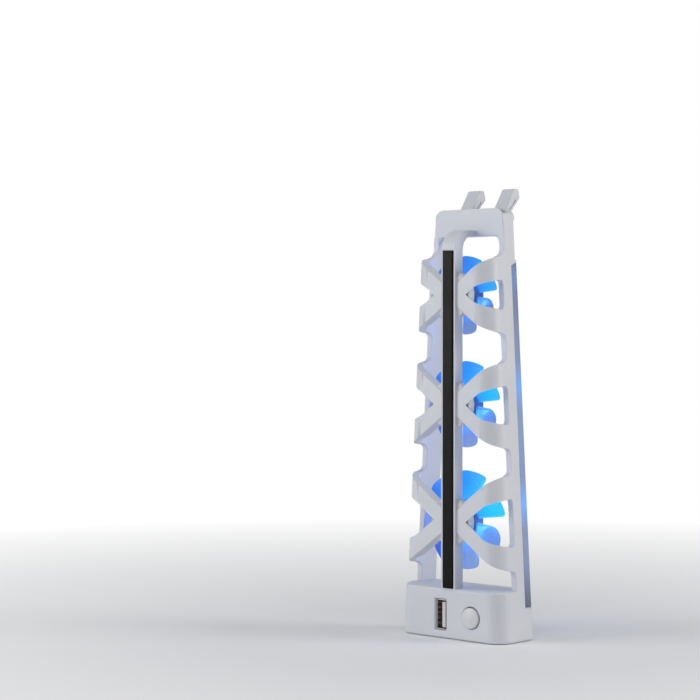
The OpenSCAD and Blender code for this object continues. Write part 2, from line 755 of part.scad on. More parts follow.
// Outline of one blade: root in the cup's wall, a tight corner at the deep edge of the tip and a
// wide one at the shallow edge
function blade_outline(r) =
    let (wide = 0.18 * r,
         tight = 0.055 * r,
         a1 = corner_angle(r, wide),
         a0 = -corner_angle(r, tight),
         root = cup_r * sin(180 / blade_count) * 0.72)
    concat([[cup_r - 0.8, -root]],
           [for (i = [4:-1:1]) polar(r - tight, a0) + polar(tight, a0 - i * 25)],
           [for (i = [0:5]) polar(r, a0 + i * (a1 - a0) / 5)],
           [for (i = [1:8]) polar(r - wide, a1) + polar(wide, a1 + i * 12.5)],
           [[cup_r - 0.8, root]]);

// Curved sheet that one blade is cut from
module blade_sheet(r) {
    tip = r * sin(blade_half);
    bend = 2 * tip / (sin(blade_steep) - sin(blade_flat));
    translate([0, dy(blade_d1) - bend * cos(blade_flat), -tip - bend * sin(blade_flat)])
        rotate([0, 90, 0]) difference() {
            cylinder(r = bend, h = 2 * r, $fn = 128);
            translate([0, 0, -cut]) cylinder(r = bend - blade_t, h = 2 * r + 2 * cut, $fn = 128);
        }
}

module blade(r) {
    intersection() {
        translate([0, dy(blade_d1 + cut), 0]) rotate([90, 0, 0])
            linear_extrude(blade_d1 - cup_d0 + cut - 0.2) polygon(blade_outline(r));
        blade_sheet(r);
    }
}

// Fan wheel: a cup over the motor with the blades around it
module rotor(k) {
    r = rotor_r(k);
    color([0.55, 0.8, 1, 0.6]) translate([0, 0, fan_z[k]]) {
        difference() {
            rod(0, 0, cup_d0, cup_d1, cup_r);
            rod(0, 0, cup_d0 - cut, cup_d1 - cup_floor_t, cup_r - cup_t);
            rod(0, 0, cup_d1 - cup_floor_t - cut, cup_d1 - 0.4, shaft_r + seat);
        }
        for (i = [0:blade_count - 1]) rotate([0, -blade_turn - i * 360 / blade_count, 0]) blade(r);
    }
}

module magnet(k) {
    color([0.2, 0.2, 0.22])
        ring(0, fan_z[k], cup_d0 + 0.4, cup_d0 + 0.4 + magnet_len,
             cup_r - cup_t - seat, cup_r - cup_t - magnet_t);
}

module shaft(k) {
    color("lightgray") rod(0, fan_z[k], pocket_d0 + 0.5, cup_d1 - 0.4, shaft_r);
}

module retainer(k) {
    color("ivory") ring(0, fan_z[k], retainer_d0, retainer_d0 + retainer_t, bearing_r - 0.2, shaft_r + seat);
}

module bearing(k) {
    color("darkgoldenrod") ring(0, fan_z[k], bearing_d0, bearing_d1, bearing_r - seat, shaft_r + run);
}

// Four-pole iron core on the bearing tube
module stator(k) {
    d1 = stator_d0 + stator_len;
    color("slategray") difference() {
        union() {
            rod(0, fan_z[k], stator_d0, d1, tube_r + 0.9);
            intersection() {
                ring(0, fan_z[k], stator_d0, d1, stator_r, stator_r - 0.9);
                pole_block(k, 2.6, d1);
            }
            intersection() {
                rod(0, fan_z[k], stator_d0, d1, stator_r - 0.4);
                pole_block(k, 0.8, d1);
            }
        }
        rod(0, fan_z[k], stator_d0 - cut, d1 + cut, tube_r + seat);
    }
}

// Two crossed blocks through the four poles
module pole_block(k, half, d1) {
    translate([0, 0, fan_z[k]]) for (turn = [0, 90]) rotate([0, turn, 0])
        block([-far, stator_d0, -half], [far, d1, half]);
}

// Windings around the four poles
module coils(k) {
    r0 = tube_r + 0.95;
    r1 = stator_r - 1.2;
    color("peru") translate([0, 0, fan_z[k]]) for (turn = [0:90:270]) rotate([0, turn, 0]) difference() {
        block([r0, stator_d0 - coil_over, -1.5], [r1, stator_d0 + stator_len + coil_over, 1.5]);
        block([r0 - cut, stator_d0, -0.8], [r1 + cut, stator_d0 + stator_len, 0.8]);
    }
}

// Round board behind the hub plate
module motor_board(k) {
    color("darkgreen") ring(0, fan_z[k], board_d0, board_d0 + board_t, board_r, tube_r + seat);
}

// Lights on the motor board that shine on the blades
module fan_leds(k) {
    d0 = board_d0 + board_t;
    color("lightyellow") translate([0, 0, fan_z[k]]) for (i = [0:fan_led_count - 1])
        rotate([0, 45 + i * 360 / fan_led_count, 0])
            block([led_r - led_size[0] / 2, d0, -led_size[2] / 2],
                  [led_r + led_size[0] / 2, d0 + led_size[1], led_size[2] / 2]);
}

main_frame();
spine_cover();
box_rear_cover();
hook_bracket();
cover_screws();
hook_screws();
light_bar(-1);  // light_bar_left
light_bar(1);  // light_bar_right
led_board(-1);  // led_board_left
led_board(1);  // led_board_right
side_leds();
usb_board();
control_board();
usb_socket_shell();
usb_socket_tongue();
usb_plug_shell();
usb_plug_tongue();
usb_contacts();
tact_switch();
switch_plunger();
power_button();
wire_header();
fan_wires();
rotor(0);  // rotor_lower
magnet(0);  // magnet_lower
shaft(0);  // shaft_lower
retainer(0);  // retainer_lower
bearing(0);  // bearing_lower
stator(0);  // stator_lower
coils(0);  // coils_lower
motor_board(0);  // motor_board_lower
fan_leds(0);  // fan_leds_lower
rotor(1);  // rotor_middle
magnet(1);  // magnet_middle
shaft(1);  // shaft_middle
retainer(1);  // retainer_middle
bearing(1);  // bearing_middle
stator(1);  // stator_middle
coils(1);  // coils_middle
motor_board(1);  // motor_board_middle
fan_leds(1);  // fan_leds_middle
rotor(2);  // rotor_upper
magnet(2);  // magnet_upper
shaft(2);  // shaft_upper
retainer(2);  // retainer_upper
bearing(2);  // bearing_upper
stator(2);  // stator_upper
coils(2);  // coils_upper
motor_board(2);  // motor_board_upper
fan_leds(2);  // fan_leds_upper
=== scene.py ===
"""Looks of the console cooling fan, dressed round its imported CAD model."""

import logging
import math
from dataclasses import dataclass, field
from enum import Enum
from functools import cache
from typing import Callable, Iterable, Sequence

import bmesh
import bpy
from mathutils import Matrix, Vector
from mathutils.bvhtree import BVHTree
from mathutils.geometry import intersect_line_line_2d, intersect_point_line


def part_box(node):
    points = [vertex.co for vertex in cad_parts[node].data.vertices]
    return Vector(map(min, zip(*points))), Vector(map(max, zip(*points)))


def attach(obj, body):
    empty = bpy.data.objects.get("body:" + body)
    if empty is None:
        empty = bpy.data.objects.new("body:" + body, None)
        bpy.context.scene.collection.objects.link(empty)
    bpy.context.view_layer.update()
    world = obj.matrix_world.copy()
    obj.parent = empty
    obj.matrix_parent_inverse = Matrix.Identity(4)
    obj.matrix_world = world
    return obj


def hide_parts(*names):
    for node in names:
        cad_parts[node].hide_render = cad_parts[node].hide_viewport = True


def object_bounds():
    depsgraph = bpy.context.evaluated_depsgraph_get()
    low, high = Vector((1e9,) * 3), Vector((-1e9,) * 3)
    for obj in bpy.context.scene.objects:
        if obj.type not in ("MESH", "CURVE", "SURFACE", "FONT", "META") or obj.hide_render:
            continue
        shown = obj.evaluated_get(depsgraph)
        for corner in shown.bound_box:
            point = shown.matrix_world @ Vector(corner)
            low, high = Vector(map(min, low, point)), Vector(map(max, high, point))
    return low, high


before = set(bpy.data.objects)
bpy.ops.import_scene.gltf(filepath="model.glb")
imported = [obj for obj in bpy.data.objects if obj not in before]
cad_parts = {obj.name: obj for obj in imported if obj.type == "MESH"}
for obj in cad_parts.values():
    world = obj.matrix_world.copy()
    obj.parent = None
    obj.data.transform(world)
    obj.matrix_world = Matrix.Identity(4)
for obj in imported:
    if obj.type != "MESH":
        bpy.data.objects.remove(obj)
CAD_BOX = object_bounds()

LOG = logging.getLogger("console_fan")
MM = 0.001
# Millimetres within which two places count as level, and within which points are joined.
HAIR = 0.01
WELD = 0.002
# Degrees between faces that still count as one plane.
FLAT_ANGLE = 0.3
# The curve of a screen's channel: a straight foot up to a level, and a power above it.
SCREEN_TOP = 255
SCREEN_FOOT = 10
SCREEN_SLOPE = 12.92
SCREEN_SHIFT = 0.055
SCREEN_POWER = 2.4

Colour = tuple[float, float, float]
Range = tuple[float, float]
Section = list[tuple[float, float]]
Places = tuple[tuple[float, float], ...]
Stops = tuple[tuple[float, Colour], ...]
Point = tuple[float, float, float] | Vector
Net = bmesh.types.BMesh
Face = bmesh.types.BMFace
Vert = bmesh.types.BMVert
Socket = bpy.types.NodeSocket
Inputs = bpy.types.NodeInputs
Group = bpy.types.NodeTree


def tone(red: float, green: float, blue: float) -> Colour:
    """A colour given as it looks on a screen.

    Args:
        red: level of the red channel, 0 to 255.
        green: level of the green channel.
        blue: level of the blue channel.

    Returns:
        The colour as linear light.
    """
    return tuple(
        level / SCREEN_SLOPE / SCREEN_TOP if level <= SCREEN_FOOT
        else ((level / SCREEN_TOP + SCREEN_SHIFT) / (1.0 + SCREEN_SHIFT)) ** SCREEN_POWER
        for level in (red, green, blue))


class Body(Enum):
    """The bodies of the frame that pieces ride on."""

    FRAME = "frame"
    BUTTON = "button"
    LOWER = "fan_lower"
    MIDDLE = "fan_middle"
    UPPER = "fan_upper"


class Fan(Enum):
    """The three fans, from the control box up."""

    LOWER = "lower"
    MIDDLE = "middle"
    UPPER = "upper"

    def body(self) -> Body:
        """The body that turns with this fan."""
        return Body[self.name]


class Kind(Enum):
    """Types of a node group's sockets."""

    VALUE = "NodeSocketFloat"
    VECTOR = "NodeSocketVector"


class Looks(Enum):
    """The way that a level face looks."""

    UP = 1
    DOWN = -1


@dataclass(frozen=True)
class Mottle:
    """A noise with its features a metre, and the stretch of it that is spread from 0 to 1."""

    low: float
    high: float
    scale: float = 0.0
    detail: float = 2.0
    rough: float = 0.5


class Hand:
    """Places and links nodes in one node tree."""

    # Places of the sockets that a Mix node uses for colours.
    MIX_FACTOR, MIX_A, MIX_B, MIX_COLOUR = 0, 6, 7, 2

    def __init__(self, tree: Group) -> None:
        """Keeps the tree that the nodes go into."""
        self.tree = tree

    @classmethod
    def emptied(cls, owner: bpy.types.Material | bpy.types.World) -> "Hand":
        """Starts on a material or a world without its usual nodes.

        Args:
            owner: the material or world.

        Returns:
            The hand for its tree.
        """
        owner.use_nodes = True
        owner.node_tree.nodes.clear()
        return cls(owner.node_tree)

    def add(self, kind: str, **settings: object) -> bpy.types.Node:
        """Adds a node and sets its properties.

        Args:
            kind: Blender's name of the node type.
            settings: properties of the node by name.

        Returns:
            The new node.
        """
        node = self.tree.nodes.new(kind)
        for name, value in settings.items():
            setattr(node, name, value)
        return node

    def feed(self, into: Socket, value: object) -> None:
        """Links a socket to an input, or sets the input to a plain value.

        Args:
            into: the input.
            value: a socket, a number or a colour.
        """
        if isinstance(value, bpy.types.NodeSocket):
            self.tree.links.new(value, into)
        elif isinstance(value, tuple) and len(value) == 3 and into.type == "RGBA":
            into.default_value = (*value, 1.0)
        else:
            into.default_value = value

    def sum(self, operation: str, *values: object, clamp: bool = False) -> Socket:
        """One Math node.

        Args:
            operation: Blender's name of the operation.
            values: its numbers or sockets, in order.
            clamp: whether the result is held between 0 and 1.

        Returns:
            The result.
        """
        node = self.add("ShaderNodeMath", operation=operation, use_clamp=clamp)
        for into, value in zip(node.inputs, values):
            self.feed(into, value)
        return node.outputs[0]

    def length(self, a: Socket, b: Socket) -> Socket:
        """The length of a line with the given extent along two axes."""
        squares = [self.sum("MULTIPLY", side, side) for side in (a, b)]
        return self.sum("SQRT", self.sum("ADD", *squares))

    def mix(self, factor: object, a: object, b: object) -> Socket:
        """One colour Mix node.

        Args:
            factor: 0 for the first colour, 1 for the second.
            a: the first colour or socket.
            b: the second colour or socket.

        Returns:
            The mixed colour.
        """
        node = self.add("ShaderNodeMix", data_type="RGBA", blend_type="MIX")
        self.feed(node.inputs[self.MIX_FACTOR], factor)
        self.feed(node.inputs[self.MIX_A], a)
        self.feed(node.inputs[self.MIX_B], b)
        return node.outputs[self.MIX_COLOUR]

    def cover(self, mask: Socket, show: float, under: object, over: object) -> Socket:
        """Lays one colour over another where a mask is, at a share of its strength."""
        return self.mix(self.sum("MULTIPLY", mask, show), under, over)

    def spread(self, value: object, low: float, high: float,
               to_low: float = 0.0, to_high: float = 1.0) -> Socket:
        """Maps a value from one range to another, held inside it.

        Args:
            value: the value or socket to map.
            low: the value that becomes to_low.
            high: the value that becomes to_high.
            to_low: the result at low.
            to_high: the result at high.

        Returns:
            The mapped value's socket.
        """
        node = self.add("ShaderNodeMapRange", clamp=True)
        for slot, number in enumerate((value, low, high, to_low, to_high)):
            self.feed(node.inputs[slot], number)
        return node.outputs[0]

    def between(self, value: Socket, ends: Range) -> Socket:
        """Maps a value from 0 to 1 into a range."""
        return self.spread(value, 0.0, 1.0, *ends)

    def noise(self, scale: object, where: Socket, detail: float = 2.0,
              rough: float = 0.5) -> Socket:
        """A noise value from 0 to 1.

        Args:
            scale: features a metre, as a number or a socket.
            where: the point on the piece.
            detail: the number of finer layers.
            rough: the weight of the finer layers.

        Returns:
            The noise.
        """
        node = self.add("ShaderNodeTexNoise", noise_dimensions="3D")
        self.feed(node.inputs["Vector"], where)
        self.feed(node.inputs["Scale"], scale)
        node.inputs["Detail"].default_value = detail
        node.inputs["Roughness"].default_value = rough
        return node.outputs["Fac"]

    def mottle(self, kind: Mottle, where: Socket, scale: Socket | None = None) -> Socket:
        """A noise spread over its full range.

        Args:
            kind: the noise.
            where: the point on the piece.
            scale: a socket that takes the place of the noise's own scale.

        Returns:
            A value from 0 to 1.
        """
        size = kind.scale if scale is None else scale
        return self.spread(self.noise(size, where, kind.detail, kind.rough), kind.low, kind.high)

    def cells(self, scale: float, distance: str = "EUCLIDEAN") -> Socket:
        """Distance from the nearest of many scattered points.

        Args:
            scale: points a metre.
            distance: Blender's name of the measure, which gives the cells their shape.

        Returns:
            The distance, in cells.
        """
        node = self.add("ShaderNodeTexVoronoi", feature="F1", distance=distance)
        self.feed(node.inputs["Vector"], self.place())
        node.inputs["Scale"].default_value = scale
        return node.outputs["Distance"]

    def bands(self, scale: float, profile: str, waver: float = 0.0) -> Socket:
        """Bands along the depth.

        Args:
            scale: Blender's scale of the bands.
            profile: Blender's name of the wave.
            waver: how far the bands stray from straight ones.

        Returns:
            The wave, from 0 to 1.
        """
        node = self.add("ShaderNodeTexWave", wave_type="BANDS", bands_direction="Y",
                        wave_profile=profile)
        self.feed(node.inputs["Vector"], self.place())
        node.inputs["Scale"].default_value = scale
        node.inputs["Distortion"].default_value = waver
        return node.outputs["Fac"]

    def place(self) -> Socket:
        """The point on the piece, in metres in the shared frame at rest."""
        return self.add("ShaderNodeTexCoord").outputs["Object"]

    def stretch(self, where: Socket, scale: Sequence[float]) -> Socket:
        """A point scaled along each axis.

        Args:
            where: the point.
            scale: the factors along X, Y and Z.

        Returns:
            The scaled point.
        """
        node = self.add("ShaderNodeMapping")
        self.feed(node.inputs["Vector"], where)
        node.inputs["Scale"].default_value = tuple(scale)
        return node.outputs["Vector"]

    def parts(self, where: Socket) -> tuple[Socket, Socket, Socket]:
        """Takes a point apart.

        Args:
            where: the point.

        Returns:
            Its X, Y and Z.
        """
        node = self.add("ShaderNodeSeparateXYZ")
        self.feed(node.inputs[0], where)
        return tuple(node.outputs)

    def ramp(self, value: Socket, stops: Stops) -> Socket:
        """A colour ramp.

        Args:
            value: the value from 0 to 1 that picks the colour.
            stops: the values of the stops and their colours, in order.

        Returns:
            The colour.
        """
        node = self.add("ShaderNodeValToRGB")
        self.feed(node.inputs[0], value)
        band = node.color_ramp.elements
        while len(band) < len(stops):
            band.new(1.0)
        for element, (at, colour) in zip(band, stops):
            element.position = at
            element.color = (*colour, 1.0)
        return node.outputs[0]

    def bump(self, height: Socket, depth_mm: float, normal: Socket | None = None) -> Socket:
        """A Bump node.

        Args:
            height: the height from 0 to 1.
            depth_mm: the full height in millimetres; below 0 it sinks.
            normal: the normal that it starts from.

        Returns:
            The new normal.
        """
        node = self.add("ShaderNodeBump")
        node.inputs["Strength"].default_value = 1.0
        node.inputs["Distance"].default_value = depth_mm * MM
        self.feed(node.inputs["Height"], height)
        if normal is not None:
            self.feed(node.inputs["Normal"], normal)
        return node.outputs["Normal"]

    def group(self, effect: Group, **values: object) -> bpy.types.NodeOutputs:
        """Places a shared effect with its own values.

        Args:
            effect: the node group.
            values: input values by name.

        Returns:
            The outputs of the group's node.
        """
        node = self.add("ShaderNodeGroup", node_tree=effect)
        for name, value in values.items():
            self.feed(node.inputs[name], value)
        return node.outputs

    def looked_at(self, *rays: str) -> Socket:
        """Tells rays that see a surface from the light that falls on the object.

        Args:
            rays: outputs of the Light Path node.

        Returns:
            1 for those rays, and 0 for others.
        """
        path = self.add("ShaderNodeLightPath")
        seen, *others = [path.outputs[ray] for ray in rays]
        for other in others:
            seen = self.sum("MAXIMUM", seen, other)
        return seen

    def blend(self, share: Socket, plain: Socket, white: Socket, output: str) -> None:
        """Sends a mix of two shaders to a new output node.

        Args:
            share: 0 for the first shader, 1 for the second.
            plain: the first shader.
            white: the second shader.
            output: Blender's name of the output node's type.
        """
        node = self.add("ShaderNodeMixShader")
        for slot, value in enumerate((share, plain, white)):
            self.feed(node.inputs[slot], value)
        self.feed(self.add(output).inputs["Surface"], node.outputs[0])


@dataclass(frozen=True)
class Effects:
    """Node groups that several finishes share, each made once."""

    grain_detail: float = 2.5
    slow_tone: Mottle = Mottle(0.3, 0.7, scale=45.0, detail=3.0)
    gloss_change: Mottle = Mottle(0.3, 0.7, scale=320.0, detail=4.0, rough=0.6)
    bevel_samples: int = 6
    edge_turn: Range = (0.995, 0.8)
    dust_slope: Range = (0.55, 1.0)
    dust_patch: Mottle = Mottle(0.35, 0.75, scale=260.0, detail=5.0, rough=0.65)
    smear: Mottle = Mottle(0.35, 0.7, detail=4.0)
    scratch: Mottle = Mottle(0.66, 0.72, scale=60.0)
    scratch_stretch: tuple[float, float, float] = (60.0, 60.0, 2.0)
    line_stretch: tuple[float, float, float] = (1.0, 0.03, 1.0)
    stain: Mottle = Mottle(0.4, 0.75, scale=350.0, detail=4.0, rough=0.6)

    @staticmethod
    def _start(name: str, takes: str, usual: float,
               gives: dict[str, Kind]) -> tuple[Hand, Socket, dict[str, Socket]]:
        """Opens a group with its sockets.

        Args:
            name: the group's name.
            takes: the name of its input, a number.
            usual: the input's usual value.
            gives: output names with their types.

        Returns:
            The hand for the group, its input and its outputs by name.
        """
        tree = bpy.data.node_groups.new(name, "ShaderNodeTree")
        taken = tree.interface.new_socket(takes, in_out="INPUT", socket_type=Kind.VALUE.value)
        taken.default_value = usual
        for key, kind in gives.items():
            tree.interface.new_socket(key, in_out="OUTPUT", socket_type=kind.value)
        hand = Hand(tree)
        head, tail = hand.add("NodeGroupInput"), hand.add("NodeGroupOutput")
        return hand, head.outputs[takes], {key: tail.inputs[key] for key in gives}

    @cache
    def grain(self) -> Group:
        """Fine texture of a moulding: a height, a slow change of tone and a change of gloss.

        Returns:
            The node group.
        """
        gives = dict.fromkeys(("Height", "Tone", "Gloss"), Kind.VALUE)
        hand, size, given = self._start("mould_grain", "Size", usual=4000.0, gives=gives)
        where = hand.place()
        hand.feed(given["Height"], hand.noise(size, where, self.grain_detail))
        hand.feed(given["Tone"], hand.mottle(self.slow_tone, where))
        hand.feed(given["Gloss"], hand.mottle(self.gloss_change, where))
        return hand.tree

    @cache
    def rounding(self) -> Group:
        """Rounded look of small edges, and a mask of where those edges are.

        Returns:
            The node group.
        """
        gives = {"Normal": Kind.VECTOR, "Edge": Kind.VALUE}
        hand, radius, given = self._start("edge_rounding", "Radius", usual=0.3 * MM, gives=gives)
        bevel = hand.add("ShaderNodeBevel", samples=self.bevel_samples)
        hand.feed(bevel.inputs["Radius"], radius)
        flat = hand.add("ShaderNodeNewGeometry")
        dot = hand.add("ShaderNodeVectorMath", operation="DOT_PRODUCT")
        hand.feed(dot.inputs[0], bevel.outputs[0])
        hand.feed(dot.inputs[1], flat.outputs["Normal"])
        hand.feed(given["Normal"], bevel.outputs[0])
        hand.feed(given["Edge"], hand.spread(dot.outputs["Value"], *self.edge_turn))
        return hand.tree

    @cache
    def dust(self) -> Group:
        """A thin patchy film on faces that look up.

        Returns:
            The node group.
        """
        gives = {"Mask": Kind.VALUE}
        hand, amount, given = self._start("settled_dust", "Amount", usual=0.2, gives=gives)
        normal = hand.add("ShaderNodeNewGeometry").outputs["Normal"]
        up = hand.spread(hand.parts(normal)[2], *self.dust_slope)
        film = hand.sum("MULTIPLY", up, hand.mottle(self.dust_patch, hand.place()))
        hand.feed(given["Mask"], hand.sum("MULTIPLY", film, amount))
        return hand.tree

    @cache
    def smears(self) -> Group:
        """Soft smears and hair scratches that break up a gloss.

        Returns:
            The node group.
        """
        gives = dict.fromkeys(("Smear", "Scratch"), Kind.VALUE)
        hand, size, given = self._start("gloss_smears", "Size", usual=90.0, gives=gives)
        where = hand.place()
        hand.feed(given["Smear"], hand.mottle(self.smear, where, size))
        drawn = hand.stretch(where, self.scratch_stretch)
        hand.feed(given["Scratch"], hand.mottle(self.scratch, drawn))
        return hand.tree

    @cache
    def brushing(self) -> Group:
        """Fine lines of drawn or ground metal along one axis.

        Returns:
            The node group.
        """
        gives = dict.fromkeys(("Line", "Stain"), Kind.VALUE)
        hand, fineness, given = self._start("drawn_lines", "Fineness", usual=9000.0,
                                            gives=gives)
        where = hand.place()
        hand.feed(given["Line"], hand.noise(fineness, hand.stretch(where, self.line_stretch)))
        hand.feed(given["Stain"], hand.mottle(self.stain, where))
        return hand.tree


EFFECTS = Effects()


class Finish:
    """A material with a Principled shader, made once and shared by pieces."""

    name: str

    def material(self) -> bpy.types.Material:
        """Makes the material at its first use.

        Returns:
            The material.
        """
        own_name = f"{self.name}_finish"
        found = bpy.data.materials.get(own_name)
        if found is not None:
            return found
        made = bpy.data.materials.new(own_name)
        hand = Hand.emptied(made)
        shader = hand.add("ShaderNodeBsdfPrincipled")
        output = hand.add("ShaderNodeOutputMaterial")
        hand.feed(output.inputs["Surface"], shader.outputs[0])
        self.paint(hand, shader.inputs)
        return made

    def paint(self, hand: Hand, inputs: Inputs) -> None:
        """Sets the shader's inputs; each finish has its own."""
        raise NotImplementedError


@dataclass(frozen=True)
class MouldedPlastic(Finish):
    """Moulded plastic with grain, slow tone change, a painted highlight along its edges and a
    little dust.
    """

    name: str
    colour: Colour
    shade: Colour
    # Painted highlight colour, laid along the rounded edges.
    edge: Colour
    roughness: float = 0.42
    gloss_swing: float = 0.08
    grain_size: float = 4200.0
    grain_depth: float = 0.012
    edge_radius: float = 0.35
    edge_show: float = 0.35
    dust: float = 0.10
    dust_tone: Colour = tone(176, 172, 164)
    specular: float = 0.45

    def paint(self, hand: Hand, inputs: Inputs) -> None:
        """Lays tone, a painted edge highlight and dust over the base colour, and grain over
        rounded edges.

        Args:
            hand: places the nodes.
            inputs: the shader's inputs.
        """
        grain = hand.group(EFFECTS.grain(), Size=self.grain_size)
        edges = hand.group(EFFECTS.rounding(), Radius=self.edge_radius * MM)
        film = hand.group(EFFECTS.dust(), Amount=self.dust)
        body = hand.mix(grain["Tone"], self.shade, self.colour)
        # Painted highlight: the lighter edge colour over the body along rounded edges.
        edge_highlighted = hand.cover(edges["Edge"], self.edge_show, body, self.edge)
        hand.feed(inputs["Base Color"], hand.mix(film["Mask"], edge_highlighted, self.dust_tone))
        ends = (self.roughness - self.gloss_swing, self.roughness + self.gloss_swing)
        satin = hand.between(grain["Gloss"], ends)
        hand.feed(inputs["Roughness"], hand.sum("ADD", satin, film["Mask"], clamp=True))
        hand.feed(inputs["Normal"], hand.bump(grain["Height"], self.grain_depth, edges["Normal"]))
        inputs["Specular IOR Level"].default_value = self.specular


@dataclass(frozen=True)
class GlossStrip(Finish):
    """Dark satin plastic with smears and hair scratches in its gloss."""

    name: str
    colour: Colour
    haze: Colour = tone(30, 28, 31)
    haze_show: float = 0.3
    # Painted highlight colour, laid along the rounded edges.
    edge: Colour = tone(74, 74, 80)
    edge_show: float = 0.2
    edge_radius: float = 0.2
    dust: float = 0.12
    dust_tone: Colour = tone(120, 118, 114)
    smear_size: float = 120.0
    gloss: Range = (0.28, 0.42)
    scratch_dull: float = 0.15
    scratch_depth: float = -0.004
    specular: float = 0.12

    def paint(self, hand: Hand, inputs: Inputs) -> None:
        """Breaks the gloss with smears and paints a faint highlight on the edges.

        Args:
            hand: places the nodes.
            inputs: the shader's inputs.
        """
        smear = hand.group(EFFECTS.smears(), Size=self.smear_size)
        edges = hand.group(EFFECTS.rounding(), Radius=self.edge_radius * MM)
        film = hand.group(EFFECTS.dust(), Amount=self.dust)
        hazy = hand.cover(smear["Smear"], self.haze_show, self.colour, self.haze)
        # Painted highlight: a lighter grey along the rounded edges.
        edged = hand.cover(edges["Edge"], self.edge_show, hazy, self.edge)
        hand.feed(inputs["Base Color"], hand.mix(film["Mask"], edged, self.dust_tone))
        gloss = hand.between(smear["Smear"], self.gloss)
        dull = hand.sum("MULTIPLY", smear["Scratch"], self.scratch_dull)
        hand.feed(inputs["Roughness"], hand.sum("ADD", gloss, dull))
        scratched = hand.bump(smear["Scratch"], self.scratch_depth, edges["Normal"])
        hand.feed(inputs["Normal"], scratched)
        inputs["Specular IOR Level"].default_value = self.specular


@dataclass(frozen=True)
class LightGuide(Finish):
    """Milky light guide, lit along its length, with brighter spots and greyer ends."""

    name: str
    bottom: float
    top: float
    spots: Places
    spot_reach: float = 11.0
    spot_tone: Colour = tone(84, 150, 232)
    strength: float = 1.0
    milk: tuple[Colour, Colour] = (tone(84, 90, 112), tone(98, 104, 126))
    # Painted highlight colour, laid along the rounded edges.
    edge: Colour = tone(170, 180, 210)
    edge_show: float = 0.3
    edge_radius: float = 0.2
    grain_size: float = 5200.0
    grain_depth: float = 0.006
    gloss: Range = (0.26, 0.38)
    glow: Stops = (
        (0.0, tone(48, 48, 50)),
        (0.12, tone(104, 116, 146)),
        (0.5, tone(103, 124, 160)),
        (0.8, tone(98, 110, 140)),
        (0.9, tone(76, 84, 112)),
        (1.0, tone(60, 64, 76)),
    )

    def paint(self, hand: Hand, inputs: Inputs) -> None:
        """Runs the glow along the height and lays a soft spot at each given height.

        Args:
            hand: places the nodes.
            inputs: the shader's inputs.
        """
        height = hand.parts(hand.place())[2]
        grain = hand.group(EFFECTS.grain(), Size=self.grain_size)
        edges = hand.group(EFFECTS.rounding(), Radius=self.edge_radius * MM)
        milk = hand.mix(grain["Tone"], *self.milk)
        # Painted highlight: the lighter edge colour over the milk along rounded edges.
        hand.feed(inputs["Base Color"], hand.cover(edges["Edge"], self.edge_show, milk, self.edge))
        glow = hand.ramp(hand.spread(height, self.bottom, self.top), self.glow)
        for spot, share in self.spots:
            away = hand.sum("ABSOLUTE", hand.sum("SUBTRACT", height, spot))
            near = hand.spread(away, self.spot_reach * MM, 0.0, 0.0, share)
            glow = hand.mix(near, glow, self.spot_tone)
        hand.feed(inputs["Emission Color"], glow)
        inputs["Emission Strength"].default_value = self.strength
        hand.feed(inputs["Roughness"], hand.between(grain["Gloss"], self.gloss))
        hand.feed(inputs["Normal"], hand.bump(grain["Height"], self.grain_depth, edges["Normal"]))


